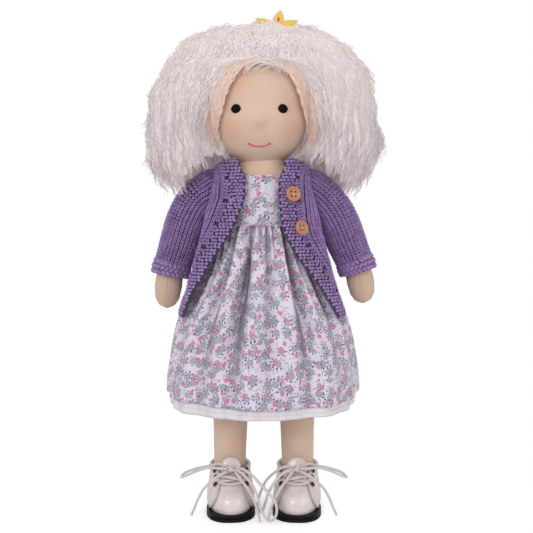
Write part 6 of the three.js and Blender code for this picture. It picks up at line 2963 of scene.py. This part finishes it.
    def laces(self) -> None:
        """The free loops and tails of the bow."""
        routes = dict(LACE_ROUTES)
        if self.word == "left":
            routes["loop_inner"] = LEFT_LOOP_INNER
        for name, points in routes.items():
            route = Route([self.stand @ Vector(p) for p in points])
            line = route.points(81 if name.startswith("loop") else 51)
            piece = finished(tube(line, LACE_RADIUS, 8), f"bow_{name}_{self.word}", BRAID)
            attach(piece, self.body)
            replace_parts(piece, f"lace_{name}_{self.word}")

    def build(self) -> None:
        """Builds the leg and its shoe."""
        self.laces()
        self.leg()
        self.sole()
        self.vamp()
        self.quarter()
        self.tongue()
        self.lacing()


# Camera, light and floor


@dataclass
class Studio:
    """A pale floor, soft light and the camera at the photograph's place."""

    distance: float = 650.0
    height: float = 231.0
    seen: float = 437.1
    middle: tuple[float, float] = (3.7, 194.8)
    sensor: float = 36.0
    ambient: float = 0.7
    floor_half: float = 3000.0
    floor_glow: float = 0.45

    def camera(self) -> None:
        """The camera, level, with a small shift."""
        data = bpy.data.cameras.new("camera")
        data.sensor_width = self.sensor
        data.lens = self.sensor * self.distance / self.seen
        data.shift_x = self.middle[0] / self.seen
        data.shift_y = (self.middle[1] - self.height) / self.seen
        data.clip_start, data.clip_end = 0.01, 50
        camera = placed("camera", data)
        camera.location = (0, -self.distance * MM, self.height * MM)
        camera.rotation_euler = (math.pi / 2, 0, 0)
        bpy.context.scene.camera = camera

    def lamp(self, name: str, place: Sequence[float], size: float, power: float) -> None:
        """A soft lamp that looks at the doll's middle.

        Args:
            name: the lamp's name.
            place: where it hangs, in metres.
            size: how wide it is, in metres.
            power: its power, in watts.
        """
        data = bpy.data.lights.new(name, "AREA")
        data.shape = "DISK"
        data.size = size
        data.energy = power
        lamp = placed(name, data)
        lamp.location = place
        lamp.rotation_euler = (Vector((0, 0, 0.2)) - Vector(place)).to_track_quat("-Z", "Y").to_euler()

    def floor(self) -> None:
        """A pale floor that keeps the doll's shadow, and fades to white where the camera sees it farther off."""
        made = bmesh.new()
        bmesh.ops.create_grid(made, x_segments=1, y_segments=1, size=self.floor_half)
        shader = Shader("floor_paper", Roughness=0.9, Base_Color=(0.8, 0.8, 0.8, 1))
        seen = shader.node("LightPath")
        far = shader.node("VectorMath", {"operation": "LENGTH"}, {0: shader.place()}, output=1).soft(110, 260)
        glow = shader.node("Emission", inputs={"Strength": seen * self.floor_glow})
        paper = shader.node("AddShader", inputs={0: Value(shader, shader.surface.outputs[0]), 1: glow})
        mixed = shader.node("MixShader", inputs={0: seen * far, 1: paper, 2: shader.node("Emission")})
        out = next(n for n in shader.tree.nodes if n.type == "OUTPUT_MATERIAL")
        shader.tree.links.new(mixed.socket, out.inputs["Surface"])
        mesh = cast(made, "floor")
        mesh.materials.append(shader.material)
        placed("floor", mesh)

    def world(self) -> None:
        """A white world for the camera and for gloss, and softer light for the doll."""
        world = bpy.data.worlds.new("studio")
        bpy.context.scene.world = world
        world.use_nodes = True
        world.node_tree.nodes.clear()
        nodes = Nodes(world.node_tree)
        seen = nodes.node("LightPath")
        rays = seen.socket.node.outputs
        for kind in ("Is Glossy Ray", "Is Transmission Ray"):
            seen = seen.maths("MAXIMUM", Value(nodes, rays[kind]))
        strength = nodes.node("MapRange", inputs={0: seen, 3: self.ambient, 4: 1.0})
        background = nodes.node("Background", inputs={"Color": (1, 1, 1, 1), "Strength": strength})
        out = nodes.tree.nodes.new("ShaderNodeOutputWorld")
        nodes.tree.links.new(background.socket, out.inputs["Surface"])

    def build(self) -> None:
        """Sets up the view, the light and the floor."""
        bpy.context.scene.view_settings.view_transform = "Standard"
        self.camera()
        self.world()
        self.lamp("key", (-0.8, -1.6, 1.0), 0.9, 9.2)
        self.lamp("fill", (1.3, -1.2, 0.7), 1.0, 4)
        self.lamp("back", (0.2, 1.4, 1.3), 0.8, 5)
        self.floor()


def main() -> None:
    """Builds the doll and its studio."""
    Studio().build()
    for word in SIDES:
        Leg(word).build()
    Torso().build()
    Head().build()
    Dress().build()
    Cardigan().build()
    for word in SIDES:
        Arm(word).build()
    Buttons().build()
    Wig().build()
    HairClip().build()


if __name__ == "__main__":
    logging.basicConfig(level=logging.INFO, format="%(relativeCreated)d ms %(name)s: %(message)s")
    main()
